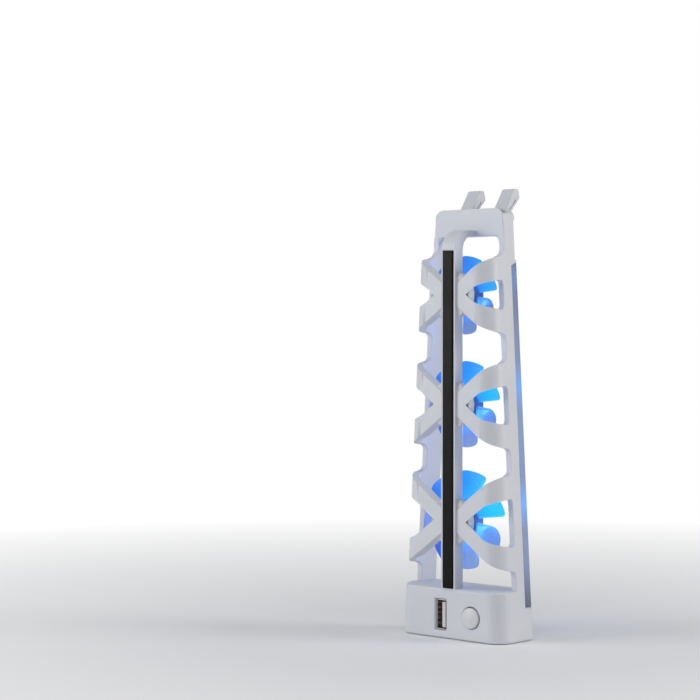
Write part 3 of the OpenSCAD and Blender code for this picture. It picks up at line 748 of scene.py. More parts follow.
@dataclass(frozen=True)
class LitRotor(Finish):
    """Clear tinted plastic with painted light: the blades glow as if lit by the lamps beside the
    hub.

    The blade colour, partly painted light, and the painted lamp light go round the axis from the
    left side, anticlockwise from the front; being part of the finish, they turn with the wheel.
    """

    name: str
    axis_height: float
    hub: float
    reach: float
    blades: int
    first: float
    half: float
    strength: float = 1.0
    grey: float = 0.0
    # Base colour round the axis: the blue of the plastic with painted light and shade laid in.
    tint_with_painted_light: Stops = (
        (0.0, tone(74, 106, 180)), (0.2, tone(78, 110, 182)), (0.27, tone(138, 158, 206)),
        (0.45, tone(132, 160, 212)), (0.53, tone(16, 110, 190)), (0.62, tone(14, 108, 190)),
        (0.72, tone(50, 120, 190)), (1.0, tone(74, 106, 180)),
    )
    # Painted light: emission colour round the axis, for the light of the lamps beside the hub.
    lamp: Stops = (
        (0.0, tone(34, 72, 150)), (0.2, tone(34, 72, 150)), (0.27, tone(86, 112, 142)),
        (0.45, tone(70, 106, 150)), (0.53, tone(22, 182, 250)), (0.62, tone(24, 184, 252)),
        (0.72, tone(38, 136, 218)), (1.0, tone(34, 72, 150)),
    )
    # Painted dimming: a duller colour and a darker painted light for the wheels painted as less
    # lit.
    grey_tint: Colour = tone(112, 136, 172)
    grey_light: Colour = tone(36, 58, 92)
    grey_light_show: float = 0.6
    # The cup's colour, and its dimmer painted glow.
    cup_tint: Colour = tone(92, 124, 190)
    cup_light: Colour = tone(16, 40, 104)
    cup_fade: float = 0.8
    streak: Colour = tone(104, 148, 224)
    streak_show: float = 0.2
    # Painted light: a brighter glow near the hub.
    root_light: Colour = tone(56, 152, 240)
    root_reach: float = 0.5
    # Painted highlights: glowing lines along the lower and the upper edge of each blade.
    deep_highlight: Colour = tone(70, 206, 255)
    deep_band: Range = (-0.78, -0.97)
    deep_show: Range = (0.85, 0.25)
    high_highlight: Colour = tone(150, 200, 255)
    high_band: Range = (0.9, 0.99)
    high_show: float = 0.3
    # Painted highlight: a glow along the rounded edges of the blades.
    rim_light: Colour = tone(80, 205, 252)
    rim_show: Range = (0.8, 0.4)
    edge_radius: float = 0.3
    grain_size: float = 2600.0
    grain_depth: float = 0.004
    gloss: Range = (0.16, 0.28)
    transmission: float = 0.12
    ior: float = 1.5

    def _lines(self, hand: Hand, turn: Socket, along: Socket, light: Socket) -> Socket:
        """Draws a painted highlight line along each edge of each blade.

        Args:
            hand: places the nodes.
            turn: the share of a full turn round the axis.
            along: the share of the way from the hub to the tip.
            light: the painted light of the blades without the lines.

        Returns:
            The painted light with the highlight lines.
        """
        past_first = hand.sum("SUBTRACT", turn, 0.5 + self.first / 360.0)
        across = hand.sum("ADD", hand.sum("MULTIPLY", past_first, self.blades), 0.5)
        across = hand.sum("SUBTRACT", hand.sum("FRACT", across), 0.5)
        side = self.half / 360.0 * self.blades
        deep = hand.spread(across, *(share * side for share in self.deep_band))
        deep = hand.sum("MULTIPLY", deep, hand.between(along, self.deep_show))
        high = hand.spread(across, *(share * side for share in self.high_band))
        return hand.cover(high, self.high_show, hand.mix(deep, light, self.deep_highlight),
                          self.high_highlight)

    def paint(self, hand: Hand, inputs: Inputs) -> None:
        """Paints light on the blades as emission, unevenly round the axis, and a dimmer painted
        glow on the cup.

        Args:
            hand: places the nodes.
            inputs: the shader's inputs.
        """
        x, _, z = hand.parts(hand.place())
        rise = hand.sum("SUBTRACT", z, self.axis_height)
        far = hand.length(x, rise)
        blade = hand.spread(far, self.hub, self.hub + self.cup_fade * MM)
        along = hand.spread(far, self.hub, self.reach)
        turn = hand.sum("MULTIPLY_ADD", hand.sum("ARCTAN2", rise, x), 0.5 / math.pi, 0.5)
        edges = hand.group(EFFECTS.rounding(), Radius=self.edge_radius * MM)
        grain = hand.group(EFFECTS.grain(), Size=self.grain_size)
        # Blade colour with painted light and shade round the axis, duller on the dimmed wheels.
        tint_with_painted_light = hand.mix(self.grey, hand.ramp(turn, self.tint_with_painted_light), self.grey_tint)
        body = hand.mix(blade, self.cup_tint, tint_with_painted_light)
        streaked = hand.cover(grain["Tone"], self.streak_show, body, self.streak)
        hand.feed(inputs["Base Color"], streaked)
        near = hand.spread(along, 0.0, self.root_reach)
        # Painted light: emission round the axis, brighter near the hub, darker on the dimmed
        # wheels.
        light = hand.mix(near, self.root_light, hand.ramp(turn, self.lamp))
        light = hand.mix(self.grey * self.grey_light_show, light, self.grey_light)
        calm = hand.mix(blade, self.cup_light, self._lines(hand, turn, along, light))
        # Painted highlight: a glow on the rounded edges, fading towards the tip.
        rim = hand.sum("MULTIPLY", edges["Edge"], hand.between(along, self.rim_show))
        hand.feed(inputs["Emission Color"], hand.mix(rim, calm, self.rim_light))
        inputs["Emission Strength"].default_value = self.strength
        inputs["Transmission Weight"].default_value = self.transmission
        inputs["IOR"].default_value = self.ior
        hand.feed(inputs["Roughness"], hand.between(grain["Gloss"], self.gloss))
        hand.feed(inputs["Normal"], hand.bump(grain["Height"], self.grain_depth, edges["Normal"]))


@dataclass(frozen=True)
class SheetMetal(Finish):
    """Drawn, ground or plated metal with fine lines and stains."""

    name: str
    colour: Colour
    stain: Colour
    roughness: float = 0.25
    gloss_swing: Range = (-0.06, 0.12)
    fineness: float = 9000.0
    line_band: Range = (0.25, 0.75)
    line_depth: float = 0.003
    stain_show: float = 0.35
    edge_radius: float = 0.15

    def paint(self, hand: Hand, inputs: Inputs) -> None:
        """Stains the colour in patches and runs lines over rounded edges.

        Args:
            hand: places the nodes.
            inputs: the shader's inputs.
        """
        lines = hand.group(EFFECTS.brushing(), Fineness=self.fineness)
        edges = hand.group(EFFECTS.rounding(), Radius=self.edge_radius * MM)
        stained = hand.cover(lines["Stain"], self.stain_show, self.colour, self.stain)
        hand.feed(inputs["Base Color"], stained)
        inputs["Metallic"].default_value = 1.0
        ends = (self.roughness + swing for swing in self.gloss_swing)
        hand.feed(inputs["Roughness"], hand.spread(lines["Line"], *self.line_band, *ends))
        hand.feed(inputs["Normal"], hand.bump(lines["Line"], self.line_depth, edges["Normal"]))


@dataclass(frozen=True)
class CircuitBoard(Finish):
    """Solder mask with tracks, ground fill and small pads."""

    name: str
    colour: Colour
    track: Colour
    solder: Colour = tone(198, 190, 172)
    track_scale: float = 420.0
    track_rim: Range = (0.36, 0.4)
    pad_scale: float = 300.0
    pad_rim: Range = (0.16, 0.13)
    pad_metal: float = 0.9
    relief: float = 0.03
    grain_size: float = 3000.0
    gloss: Range = (0.28, 0.45)

    def paint(self, hand: Hand, inputs: Inputs) -> None:
        """Draws right-angled tracks and round pads under the mask.

        Args:
            hand: places the nodes.
            inputs: the shader's inputs.
        """
        rim = hand.spread(hand.cells(self.track_scale, "CHEBYCHEV"), *self.track_rim)
        pad = hand.spread(hand.cells(self.pad_scale), *self.pad_rim)
        mask = hand.mix(rim, self.track, self.colour)
        hand.feed(inputs["Base Color"], hand.mix(pad, mask, self.solder))
        hand.feed(inputs["Metallic"], hand.sum("MULTIPLY", pad, self.pad_metal))
        grain = hand.group(EFFECTS.grain(), Size=self.grain_size)
        hand.feed(inputs["Roughness"], hand.between(grain["Gloss"], self.gloss))
        hand.feed(inputs["Normal"], hand.bump(hand.sum("SUBTRACT", pad, rim), self.relief))


@dataclass(frozen=True)
class WoundWire(Finish):
    """Turns of enamelled wire side by side."""

    name: str
    colour: Colour
    gap: Colour
    turn_scale: float = 1100.0
    waver: float = 0.6
    relief: float = 0.12
    fineness: float = 2500.0
    stain_show: float = 0.25
    metallic: float = 0.85
    gloss: Range = (0.22, 0.38)
    coat: float = 0.3

    def paint(self, hand: Hand, inputs: Inputs) -> None:
        """Lays the turns as fine bands along the depth.

        Args:
            hand: places the nodes.
            inputs: the shader's inputs.
        """
        turns = hand.bands(self.turn_scale, "SIN", self.waver)
        lines = hand.group(EFFECTS.brushing(), Fineness=self.fineness)
        wire = hand.mix(turns, self.gap, self.colour)
        stained = hand.cover(lines["Stain"], self.stain_show, wire, self.gap)
        hand.feed(inputs["Base Color"], stained)
        inputs["Metallic"].default_value = self.metallic
        hand.feed(inputs["Roughness"], hand.between(lines["Line"], self.gloss))
        hand.feed(inputs["Normal"], hand.bump(turns, self.relief))
        inputs["Coat Weight"].default_value = self.coat


@dataclass(frozen=True)
class StackedCore(Finish):
    """Stamped plates stacked along the depth."""

    name: str
    colour: Colour
    seam: Colour
    stain: Colour = tone(92, 88, 86)
    stain_show: float = 0.4
    plate_scale: float = 640.0
    seam_band: Range = (0.82, 0.95)
    seam_depth: float = -0.05
    fineness: float = 4000.0
    metallic: float = 0.9
    gloss: Range = (0.35, 0.55)

    def paint(self, hand: Hand, inputs: Inputs) -> None:
        """Marks the seams between the plates.

        Args:
            hand: places the nodes.
            inputs: the shader's inputs.
        """
        seam = hand.spread(hand.bands(self.plate_scale, "SAW"), *self.seam_band)
        lines = hand.group(EFFECTS.brushing(), Fineness=self.fineness)
        steel = hand.cover(lines["Stain"], self.stain_show, self.colour, self.stain)
        hand.feed(inputs["Base Color"], hand.mix(seam, steel, self.seam))
        inputs["Metallic"].default_value = self.metallic
        hand.feed(inputs["Roughness"], hand.between(lines["Line"], self.gloss))
        hand.feed(inputs["Normal"], hand.bump(seam, self.seam_depth))


@dataclass(frozen=True)
class PorousMetal(Finish):
    """Pressed powder, with pores and specks."""

    name: str
    colour: Colour
    pore: Colour
    metallic: float = 0.9
    roughness: float = 0.4
    gloss_swing: Range = (-0.08, 0.15)
    pore_scale: float = 5200.0
    pore_rim: Range = (0.28, 0.18)
    pore_depth: float = -0.02
    speck_show: float = 0.5
    grain_size: float = 3600.0
    edge_radius: float = 0.15

    def paint(self, hand: Hand, inputs: Inputs) -> None:
        """Scatters pores through the colour, the gloss and the height.

        Args:
            hand: places the nodes.
            inputs: the shader's inputs.
        """
        pore = hand.spread(hand.cells(self.pore_scale), *self.pore_rim)
        grain = hand.group(EFFECTS.grain(), Size=self.grain_size)
        edges = hand.group(EFFECTS.rounding(), Radius=self.edge_radius * MM)
        body = hand.cover(grain["Tone"], self.speck_show, self.colour, self.pore)
        hand.feed(inputs["Base Color"], hand.mix(pore, body, self.pore))
        inputs["Metallic"].default_value = self.metallic
        ends = tuple(self.roughness + swing for swing in self.gloss_swing)
        hand.feed(inputs["Roughness"], hand.between(grain["Gloss"], ends))
        hand.feed(inputs["Normal"], hand.bump(pore, self.pore_depth, edges["Normal"]))


@dataclass(frozen=True)
class LampLens(Finish):
    """Small lamp: a pale body with a lit window."""

    name: str
    colour: Colour
    light: Colour
    strength: float = 2.0
    resin: Colour = tone(240, 236, 206)
    edge_light: Colour = tone(20, 40, 110)
    edge_radius: float = 0.12
    grain_size: float = 2000.0
    grain_depth: float = 0.004
    gloss: Range = (0.12, 0.25)

    def paint(self, hand: Hand, inputs: Inputs) -> None:
        """Lights the lens in a soft patch.

        Args:
            hand: places the nodes.
            inputs: the shader's inputs.
        """
        grain = hand.group(EFFECTS.grain(), Size=self.grain_size)
        edges = hand.group(EFFECTS.rounding(), Radius=self.edge_radius * MM)
        hand.feed(inputs["Base Color"], hand.mix(grain["Tone"], self.colour, self.resin))
        hand.feed(inputs["Emission Color"], hand.mix(edges["Edge"], self.light, self.edge_light))
        inputs["Emission Strength"].default_value = self.strength
        hand.feed(inputs["Roughness"], hand.between(grain["Gloss"], self.gloss))
        hand.feed(inputs["Normal"], hand.bump(grain["Height"], self.grain_depth, edges["Normal"]))


# The third colour of each moulded plastic is its painted edge highlight.
SHELL_WHITE = MouldedPlastic(
    "shell_white", tone(222, 223, 228), tone(216, 218, 224), tone(240, 241, 244))
COVER_WHITE = MouldedPlastic(
    "cover_white", tone(219, 220, 225), tone(212, 214, 220), tone(238, 239, 242),
    grain_depth=0.018)
BUTTON_WHITE = MouldedPlastic(
    "button_white", tone(224, 223, 224), tone(218, 218, 220), tone(242, 241, 242),
    roughness=0.32, grain_size=5600.0, grain_depth=0.006)
TONGUE_WHITE = MouldedPlastic(
    "tongue_white", tone(222, 221, 218), tone(210, 209, 206), tone(240, 240, 238))
INSULATOR = MouldedPlastic(
    "insulator_black", tone(38, 38, 42), tone(30, 30, 33), tone(86, 86, 92), roughness=0.5)
HEADER_IVORY = MouldedPlastic(
    "header_ivory", tone(226, 220, 200), tone(214, 207, 186), tone(242, 238, 224))
WIRE_RED = MouldedPlastic(
    "wire_sleeve", tone(176, 34, 30), tone(150, 26, 24), tone(206, 84, 78), roughness=0.48)
STRIP_BLACK = GlossStrip("strip_black", tone(13, 11, 12))
NICKEL = SheetMetal("nickel", tone(206, 205, 202), tone(164, 160, 154), roughness=0.2)
GOLD = SheetMetal("contact_gold", tone(236, 196, 112), tone(190, 142, 70), roughness=0.18)
STEEL = SheetMetal(
    "steel", tone(196, 197, 200), tone(150, 150, 154), roughness=0.16, fineness=14000.0)
SCREW_DARK = SheetMetal("screw_dark", tone(96, 97, 102), tone(58, 58, 62), roughness=0.34)
BRONZE = PorousMetal("bearing_bronze", tone(178, 142, 88), tone(112, 82, 44))
MAGNET = PorousMetal(
    "magnet_grey", tone(72, 72, 77), tone(44, 44, 48), metallic=0.2, roughness=0.6)
COPPER = WoundWire("winding_copper", tone(206, 128, 72), tone(92, 44, 22))
CORE = StackedCore("core_steel", tone(136, 139, 146), tone(44, 42, 42))
BOARD = CircuitBoard("board_green", tone(22, 104, 62), tone(34, 128, 78))
BOARD_WHITE = CircuitBoard("board_white", tone(226, 228, 232), tone(214, 217, 223))
FAN_LAMP = LampLens("fan_led_lens", tone(236, 240, 250), tone(64, 128, 255), strength=120.0)
BAR_LAMP = LampLens("bar_led_lens", tone(236, 240, 250), tone(84, 144, 255), strength=16.0)


def dress(node: str, finish: Finish) -> None:
    """Gives a CAD node its finish.

    Args:
        node: the node's name.
        finish: the finish it gets.
    """
    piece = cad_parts[node]
    piece.data.materials.clear()
    piece.data.materials.append(finish.material())
    LOG.info("%s dressed in %s", node, finish.name)


def enter(name: str, net: Net, node: str, body: Body, finish: Finish,
          crease: float = 40.0) -> None:
    """Turns a net into a piece that takes the place of a CAD node.

    Args:
        name: the piece's name.
        net: its net, which is freed.
        node: the CAD node it stands for.
        body: the body it rides on.
        finish: the finish it gets.
        crease: angle in degrees above which an edge stays sharp.
    """
    mesh = bpy.data.meshes.new(name)
    net.to_mesh(mesh)
    net.free()
    mesh.shade_smooth()
    mesh.set_sharp_from_angle(angle=math.radians(crease))
    mesh.materials.append(finish.material())
    piece = bpy.data.objects.new(name, mesh)
    bpy.context.scene.collection.objects.link(piece)
    even = piece.modifiers.new("even_normals", "WEIGHTED_NORMAL")
    even.keep_sharp = True
    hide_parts(node)
    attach(piece, body.value)
    LOG.info("%s stands for %s with %d faces", name, node, len(mesh.polygons))


def net_of(node: str) -> Net:
    """Copies a CAD node into a net, with its doubled points joined.

    Args:
        node: the node's name.

    Returns:
        The net, in the shared frame at rest.
    """
    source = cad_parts[node]
    net = bmesh.new()
    net.from_mesh(source.data)
    net.transform(source.matrix_world)
    bmesh.ops.remove_doubles(net, verts=net.verts, dist=WELD * MM)
    return net


def points_of(node: str) -> list[Vector]:
    """The points of a CAD node, in the shared frame at rest."""
    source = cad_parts[node]
    return [source.matrix_world @ vert.co for vert in source.data.vertices]


def spans_of(points: Iterable[Vector], x: float, z: float) -> Section:
    """Radius and depth in mm of each point about an axis along the depth."""
    return [(math.hypot(q.x - x, q.z - z) / MM, q.y / MM) for q in points]


def corner(inner: float, level: float, radius: float, rear: int,
           turns: Sequence[float]) -> Section:
    """A round corner of a turned section, from its side to its face.

    Args:
        inner: radius of the section where the face starts.
        level: depth of the face.
        radius: radius of the corner.
        rear: 1 where the face looks to the rear, -1 where it looks to the front.
        turns: angles in degrees, 90 at the side and 0 at the face.

    Returns:
        The corner's radii and depths.
    """
    places = []
    for degrees in turns:
        turn = math.radians(degrees)
        places.append((inner + radius * math.sin(turn),
                       level - rear * radius * (1.0 - math.cos(turn))))
    return places


def crown(inner: float, level: float, rise: float, rings: int) -> Section:
    """A domed face of a turned section, from its rim to the axis.

    Args:
        inner: radius of the rim.
        level: depth of the rim.
        rise: depth from the rim to the top of the dome; below 0 it rises to the front.
        rings: the number of stretches.

    Returns:
        The dome's radii and depths.
    """
    shares = [ring / rings for ring in range(rings, -1, -1)]
    return [(inner * share, level + rise * (1.0 - share * share)) for share in shares]


def turned(net: Net, section: Section, place: Callable[[float, float, float], Vector],
           spin: int = 96) -> None:
    """Adds a closed skin turned from a section.

    Args:
        net: the net that takes the skin.
        section: radii and depths in order round the section; a radius of 0 lies on the axis.
        place: gives the point at a radius, a depth and a turn in degrees.
        spin: the number of faces round the axis.
    """
    rows = []
    for radius, y in section:
        turns = 1 if radius == 0.0 else spin
        rows.append([net.verts.new(place(radius, y, 360.0 * k / turns)) for k in range(turns)])
    for row, following in zip(rows, rows[1:] + rows[:1]):
        for k in range(spin):
            loop = [row[k % len(row)], row[(k + 1) % len(row)],
                    following[(k + 1) % len(following)], following[k % len(following)]]
            unique = list(dict.fromkeys(loop))
            if len(unique) > 2:
                net.faces.new(unique)


def lofted(net: Net, rings: Sequence[Sequence[Point]]) -> None:
    """Adds a closed skin over rings of as many points each.

    Args:
        net: the net that takes the skin.
        rings: the rings in order; the first and the last are closed with a face.
    """
    rows = [[net.verts.new(point) for point in ring] for ring in rings]
    count = len(rows[0])
    for row, following in zip(rows, rows[1:]):
        for k in range(count):
            n = (k + 1) % count
            net.faces.new((row[k], row[n], following[n], following[k]))
    net.faces.new(rows[0])
    net.faces.new(rows[-1][::-1])


def evenly(line: Section, steps: int) -> Section:
    """Places at even distances along a line of points.

    Args:
        line: the line's points.
        steps: the number of stretches between the places.

    Returns:
        One place more than there are stretches, both ends included.
    """
    spans = [math.dist(a, b) for a, b in zip(line, line[1:])]
    total = sum(spans)
    places = []
    for i in range(steps + 1):
        left = total * i / steps
        k = 0
        while k < len(spans) - 1 and left > spans[k]:
            left -= spans[k]
            k += 1
        f = min(1.0, left / spans[k])
        (x0, z0), (x1, z1) = line[k], line[k + 1]
        places.append((x0 + f * (x1 - x0), z0 + f * (z1 - z0)))
    return places


def crossings(face: Face) -> list[Vector]:
    """Places where the outline of a flat face crosses itself.

    Args:
        face: the face, whose outline may have many corners.

    Returns:
        The starts of the edges that cross.
    """
    keep = sorted(range(3), key=lambda axis: abs(face.normal[axis]))[:2]
    corners = [vert.co for vert in face.verts]
    flat = [Vector((place[keep[0]], place[keep[1]])) for place in corners]
    count = len(flat)
    found = []
    for i in range(count - 2):
        a, b = flat[i], flat[i + 1]
        low, high = [min(a[k], b[k]) for k in (0, 1)], [max(a[k], b[k]) for k in (0, 1)]
        for j in range(i + 2, count - (i == 0)):
            c, d = flat[j], flat[(j + 1) % count]
            if any(max(c[k], d[k]) < low[k] or min(c[k], d[k]) > high[k] for k in (0, 1)):
                continue
            if intersect_line_line_2d(a, b, c, d):
                found += [corners[i].copy(), corners[j].copy()]
    return found


def merge_flats(net: Net) -> None:
    """Joins the faces of a net that lie in one plane."""
    bmesh.ops.dissolve_limit(net, angle_limit=math.radians(FLAT_ANGLE), verts=net.verts,
                             edges=net.edges)


def islands(net: Net) -> list[list[Vector]]:
    """Sorts the points of a net into the solids that they belong to.

    Args:
        net: the net.

    Returns:
        The points of each solid.
    """
    left = dict.fromkeys(net.verts)
    found = []
    while left:
        reached = [left.popitem()[0]]
        for vert in reached:
            for edge in vert.link_edges:
                other = edge.other_vert(vert)
                if other in left:
                    del left[other]
                    reached.append(other)
        found.append([vert.co.copy() for vert in reached])
    return found


@dataclass(frozen=True)
class RolledRim:
    """A wide rounding along the outer rim of the control box, at its foot or its top.

    The rounding follows the level face that lies nearest the foot of the standing node. It may run
    out towards the rear and towards the spine. Lengths are in mm, angles in degrees.
    """

    looks: Looks
    standing: str
    rear_fade: Range | None = None
    middle_fade: Range | None = None
    radius: float = 1.2
    steps: int = 5
    fade_steps: int = 4
    sharp: float = 28.0
    turn: float = 35.0
    wall_slope: float = 0.3
    level_slope: float = 0.999
    least: float = 0.001

    def _share(self, place: Vector, front: float) -> float:
        """Share of the rounding at a place.

        Args:
            place: the place.
            front: depth of the box's front, in metres.

        Returns:
            1 for the full rounding, 0 for none.
        """
        rises = []
        if self.rear_fade:
            full, none = self.rear_fade
            rises.append((none - (place.y - front) / MM) / (none - full))
        if self.middle_fade:
            none, full = self.middle_fade
            rises.append((abs(place.x) / MM - none) / (full - none))
        held = [min(1.0, max(0.0, rise)) for rise in rises]
        return math.prod(rise * rise * (3.0 - 2.0 * rise) for rise in held)

    def _drop(self, vert: Vert, level: float) -> float:
        """Distance of a point from the level face, into the part, in mm."""
        return self.looks.value * (level - vert.co.z) / MM

    def _walls(self, net: Net, level: float, front: float) -> list[Face]:
        """Finds the outer walls along the part of the rim that is rounded.

        Args:
            net: the net of the frame.
            level: height of the level face.
            front: depth of the box's front.

        Returns:
            The walls.
        """
        rim: dict[Vert, None] = {}
        for edge in net.edges:
            ends = [vert.co for vert in edge.verts]
            if any(abs(end.z - level) > HAIR * MM for end in ends) or not edge.is_convex:
                continue
            places = (*ends, (ends[0] + ends[1]) / 2)
            if max(self._share(place, front) for place in places) > 0.0:
                rim.update(dict.fromkeys(edge.verts))
        faces = dict.fromkeys(face for vert in rim for face in vert.link_faces)
        return [face for face in faces if abs(face.normal.z) < self.wall_slope]

    def _cut(self, net: Net, walls: Sequence[Face], axis: int, at: float) -> list[Face]:
        """Cuts walls across an axis.

        Args:
            net: the net of the frame.
            walls: the walls to cut.
            axis: 0, 1 or 2 for X, Y or Z.
            at: place of the cut on that axis.

        Returns:
            All the walls' pieces.
        """
        across = Vector((0.0, 0.0, 0.0))
        across[axis] = 1.0
        parts = dict.fromkeys(item for face in walls for item in (face, *face.edges, *face.verts))
        cut = bmesh.ops.bisect_plane(net, geom=list(parts), dist=self.least * MM,
                                     plane_co=across * at, plane_no=across)
        return [item for item in cut["geom"] if isinstance(item, bmesh.types.BMFace)]

    def _strips(self, net: Net, level: float, front: float) -> list[Face]:
        """Cuts the walls into strips along the rim, and across it where the rounding runs out.

        Args:
            net: the net of the frame.
            level: height of the level face.
            front: depth of the box's front.

        Returns:
            The strips that lie within the rounding.
        """
        walls = self._walls(net, level, front)
        for k in range(self.steps + 1):
            drop = self.radius * (1.0 - math.cos(0.5 * math.pi * k / self.steps))
            walls = self._cut(net, walls, 2, level - self.looks.value * drop * MM)
        walls = [wall for wall in walls if all(
            -HAIR < self._drop(vert, level) < self.radius + HAIR for vert in wall.verts)]
        rear = (1, front, (1,), self.rear_fade)
        middle = (0, 0.0, (-1, 1), self.middle_fade)
        for axis, origin, sides, fade in (rear, middle):
            if fade:
                for k in range(self.fade_steps + 1):
                    reach = (fade[0] + (fade[1] - fade[0]) * k / self.fade_steps) * MM
                    for side in sides:
                        walls = self._cut(net, walls, axis, origin + side * reach)
        return walls

    def _mark(self, net: Net, level: float, front: float) -> None:
        """Marks the edges of the rounding, and the outlines that run on from them, as seams.

        Args:
            net: the net of the frame.
            level: height of the level face.
            front: depth of the box's front.
        """
        trail = []
        for edge in net.edges:
            inside = all(-HAIR < self._drop(vert, level) < self.radius - self.least
                         for vert in edge.verts)
            if inside and max(self._share(vert.co, front) for vert in edge.verts) > 0.0:
                edge.seam = True
                trail.append(edge)
        for edge in trail:
            for vert in edge.verts:
                along = vert.co - edge.other_vert(vert).co
                for following in vert.link_edges:
                    turn = along.angle(following.other_vert(vert).co - vert.co, math.pi)
                    sharp = following.calc_face_angle(0.0) > math.radians(self.sharp)
                    if sharp and not following.seam and turn < math.radians(self.turn):
                        following.seam = True
                        trail.append(following)

    def roll(self, net: Net) -> None:
        """Draws strips of the walls in along a quarter circle.

        Args:
            net: the net of the frame; the edges of the strips are marked as seams.
        """
        net.normal_update()
        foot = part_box(self.standing)[0].z
        heights = [face.calc_center_median().z for face in net.faces
                   if face.normal.z * self.looks.value > self.level_slope]
        level = min(heights, key=lambda z: abs(z - foot))
        front = min(vert.co.y for vert in net.verts)
        outward: dict[Vert, Vector] = {}
        for strip in self._strips(net, level, front):
            strip.normal_update()
            for vert in strip.verts:
                outward[vert] = outward.get(vert, Vector()) + strip.normal
        for vert, normal in outward.items():
            rise = self.radius - max(0.0, self._drop(vert, level))
            share = self._share(vert.co, front)
            if rise > self.least and share > 0.0:
                inset = self.radius - math.sqrt(self.radius ** 2 - rise ** 2)
                way = Vector((normal.x, normal.y, 0.0)).normalized()
                vert.co -= way * inset * share * MM
        net.normal_update()
        merge_flats(net)
        self._mark(net, level, front)


@dataclass(frozen=True)
class Softened:
    """A copy of a CAD node with its sharp edges rounded, which takes the node's place.

    A face takes a rounding if it is wider than room times the radius. A rounding that strays from
    the node's skin by more than the stray share of the radius, or whose outline crosses itself, is
    left out within the berth. Lengths are in mm, angles in degrees.
    """

    node: str
    name: str
    slot: str
    finish: Finish
    radius: float
    body: Body = Body.FRAME
    rims: tuple[RolledRim, ...] = ()
    sharp: float = 28.0
    segments: int = 2
    room: float = 2.2
    stray: float = 0.45
    berth: float = 1.2
    tries: int = 10

    def _takes(self, edge: bmesh.types.BMEdge, spoilt: Sequence[Vector]) -> bool:
        """Whether an edge is rounded.

        Args:
            edge: the edge.
            spoilt: places where a rounding went wrong.

        Returns:
            True if it is sharp, has room on both faces and lies clear of spoilt places.
        """
        blunt = edge.calc_face_angle(0.0) < math.radians(self.sharp)
        if edge.seam or not edge.is_manifold or blunt:
            return False
        room = self.room * self.radius * MM * edge.calc_length()
        if not all(face.calc_area() > room for face in edge.link_faces):
            return False
        start, end = (vert.co for vert in edge.verts)
        for place in spoilt:
            foot, share = intersect_point_line(place, start, end)
            nearest = start if share < 0 else end if share > 1 else foot
            if (nearest - place).length < self.berth * MM:
                return False
        return True

    def build(self) -> None:
        """Copies the node and rounds its edges, except where a rounding goes wrong."""
        plain = net_of(self.node)
        merge_flats(plain)
        for rim in self.rims:
            rim.roll(plain)
        skin = BVHTree.FromBMesh(plain)
        slack = self.stray * self.radius * MM
        spoilt: list[Vector] = []
        for _ in range(self.tries):
            net = plain.copy()
            edges = [edge for edge in net.edges if self._takes(edge, spoilt)]
            bmesh.ops.bevel(net, geom=edges, offset=self.radius * MM, offset_type="OFFSET",
                            segments=self.segments, profile=0.5, affect="EDGES",
                            clamp_overlap=False)
            wrong = [vert.co.copy() for vert in net.verts
                     if skin.find_nearest(vert.co)[3] > slack]
            wrong += [place for face in net.faces if len(face.verts) > 4
                      for place in crossings(face)]
            if not wrong:
                break
            spoilt += wrong
        LOG.info("%s: %d edges rounded, %d places left sharp", self.node, len(edges), len(spoilt))
        for edge in net.edges:
            edge.seam = False
        plain.free()
        enter(self.name, net, self.node, self.body, self.finish)


@dataclass(frozen=True)
class Screws:
    """Screws with rounded heads and cross recesses, in the place of their CAD node.

    Lengths are in mm, angles in degrees; reach is a share of the head's radius.
    """

    node: str
    name: str
    rim: float = 0.3
    rim_turns: tuple[float, ...] = (90.0, 60.0, 30.0)
    point: float = 0.2
    crown: float = 0.12
    recess: float = 0.6
    slot_half: float = 0.26
    reach: float = 0.66
    soft: float = 0.1
    rings: int = 16
    spin: int = 64
    crease: float = 32.0

    def _cross(self, x: float, z: float, reach: float) -> float:
        """Share of the recess's full depth at a place on the head.

        Args:
            x: the place to the right of the middle.
            z: the place above the middle.
            reach: length of each arm of the cross.

        Returns:
            1 on the recess's floor, 0 outside it.
        """
        def arm(across: float, along: float) -> float:
            """The same for one of the two slots."""
            inside = (self.slot_half - abs(across), reach - abs(along))
            return math.prod(min(1.0, max(0.0, gap / self.soft + 0.5)) for gap in inside)
        return max(arm(x, z), arm(z, x))

    def _screw(self, net: Net, points: Sequence[Vector]) -> None:
        """Adds one screw with the sizes of its CAD solid.

        Args:
            net: the net that takes the screw.
            points: the points of the solid.
        """
        mid_x, mid_z = [(min(q[k] for q in points) + max(q[k] for q in points)) / 2
                        for k in (0, 2)]
        spans = spans_of(points, mid_x, mid_z)
        head = max(radius for radius, _ in spans)
        tip, top = min(y for _, y in spans), max(y for _, y in spans)
        shank = max(radius for radius, y in spans if y < tip + HAIR)
        under = min(y for radius, y in spans if radius > head - HAIR)
        inner = head - self.rim
        section = [(0.0, tip), (shank - self.point, tip), (shank, tip + self.point),
                   (shank, under), (head, under),
                   *corner(inner, top, self.rim, 1, self.rim_turns),
                   *crown(inner, top, self.crown, self.rings)]

        def place(radius: float, y: float, turn: float) -> Vector:
            """A point on the screw, sunk where the recess is.

            Args:
                radius: distance from the axis.
                y: depth.
                turn: angle round the axis.

            Returns:
                The point, in metres.
            """
            x = radius * math.cos(math.radians(turn))
            z = radius * math.sin(math.radians(turn))
            sunk = self.recess * self._cross(x, z, self.reach * head) if y >= top else 0.0
            return Vector((mid_x + x * MM, (y - sunk) * MM, mid_z + z * MM))

        turned(net, section, place, self.spin)

    def build(self) -> None:
        """Turns each screw of the set."""
        whole = net_of(self.node)
        net = bmesh.new()
        for points in islands(whole):
            self._screw(net, points)
        whole.free()
        bmesh.ops.recalc_face_normals(net, faces=net.faces)
        enter(self.name, net, self.node, Body.FRAME, SCREW_DARK, self.crease)


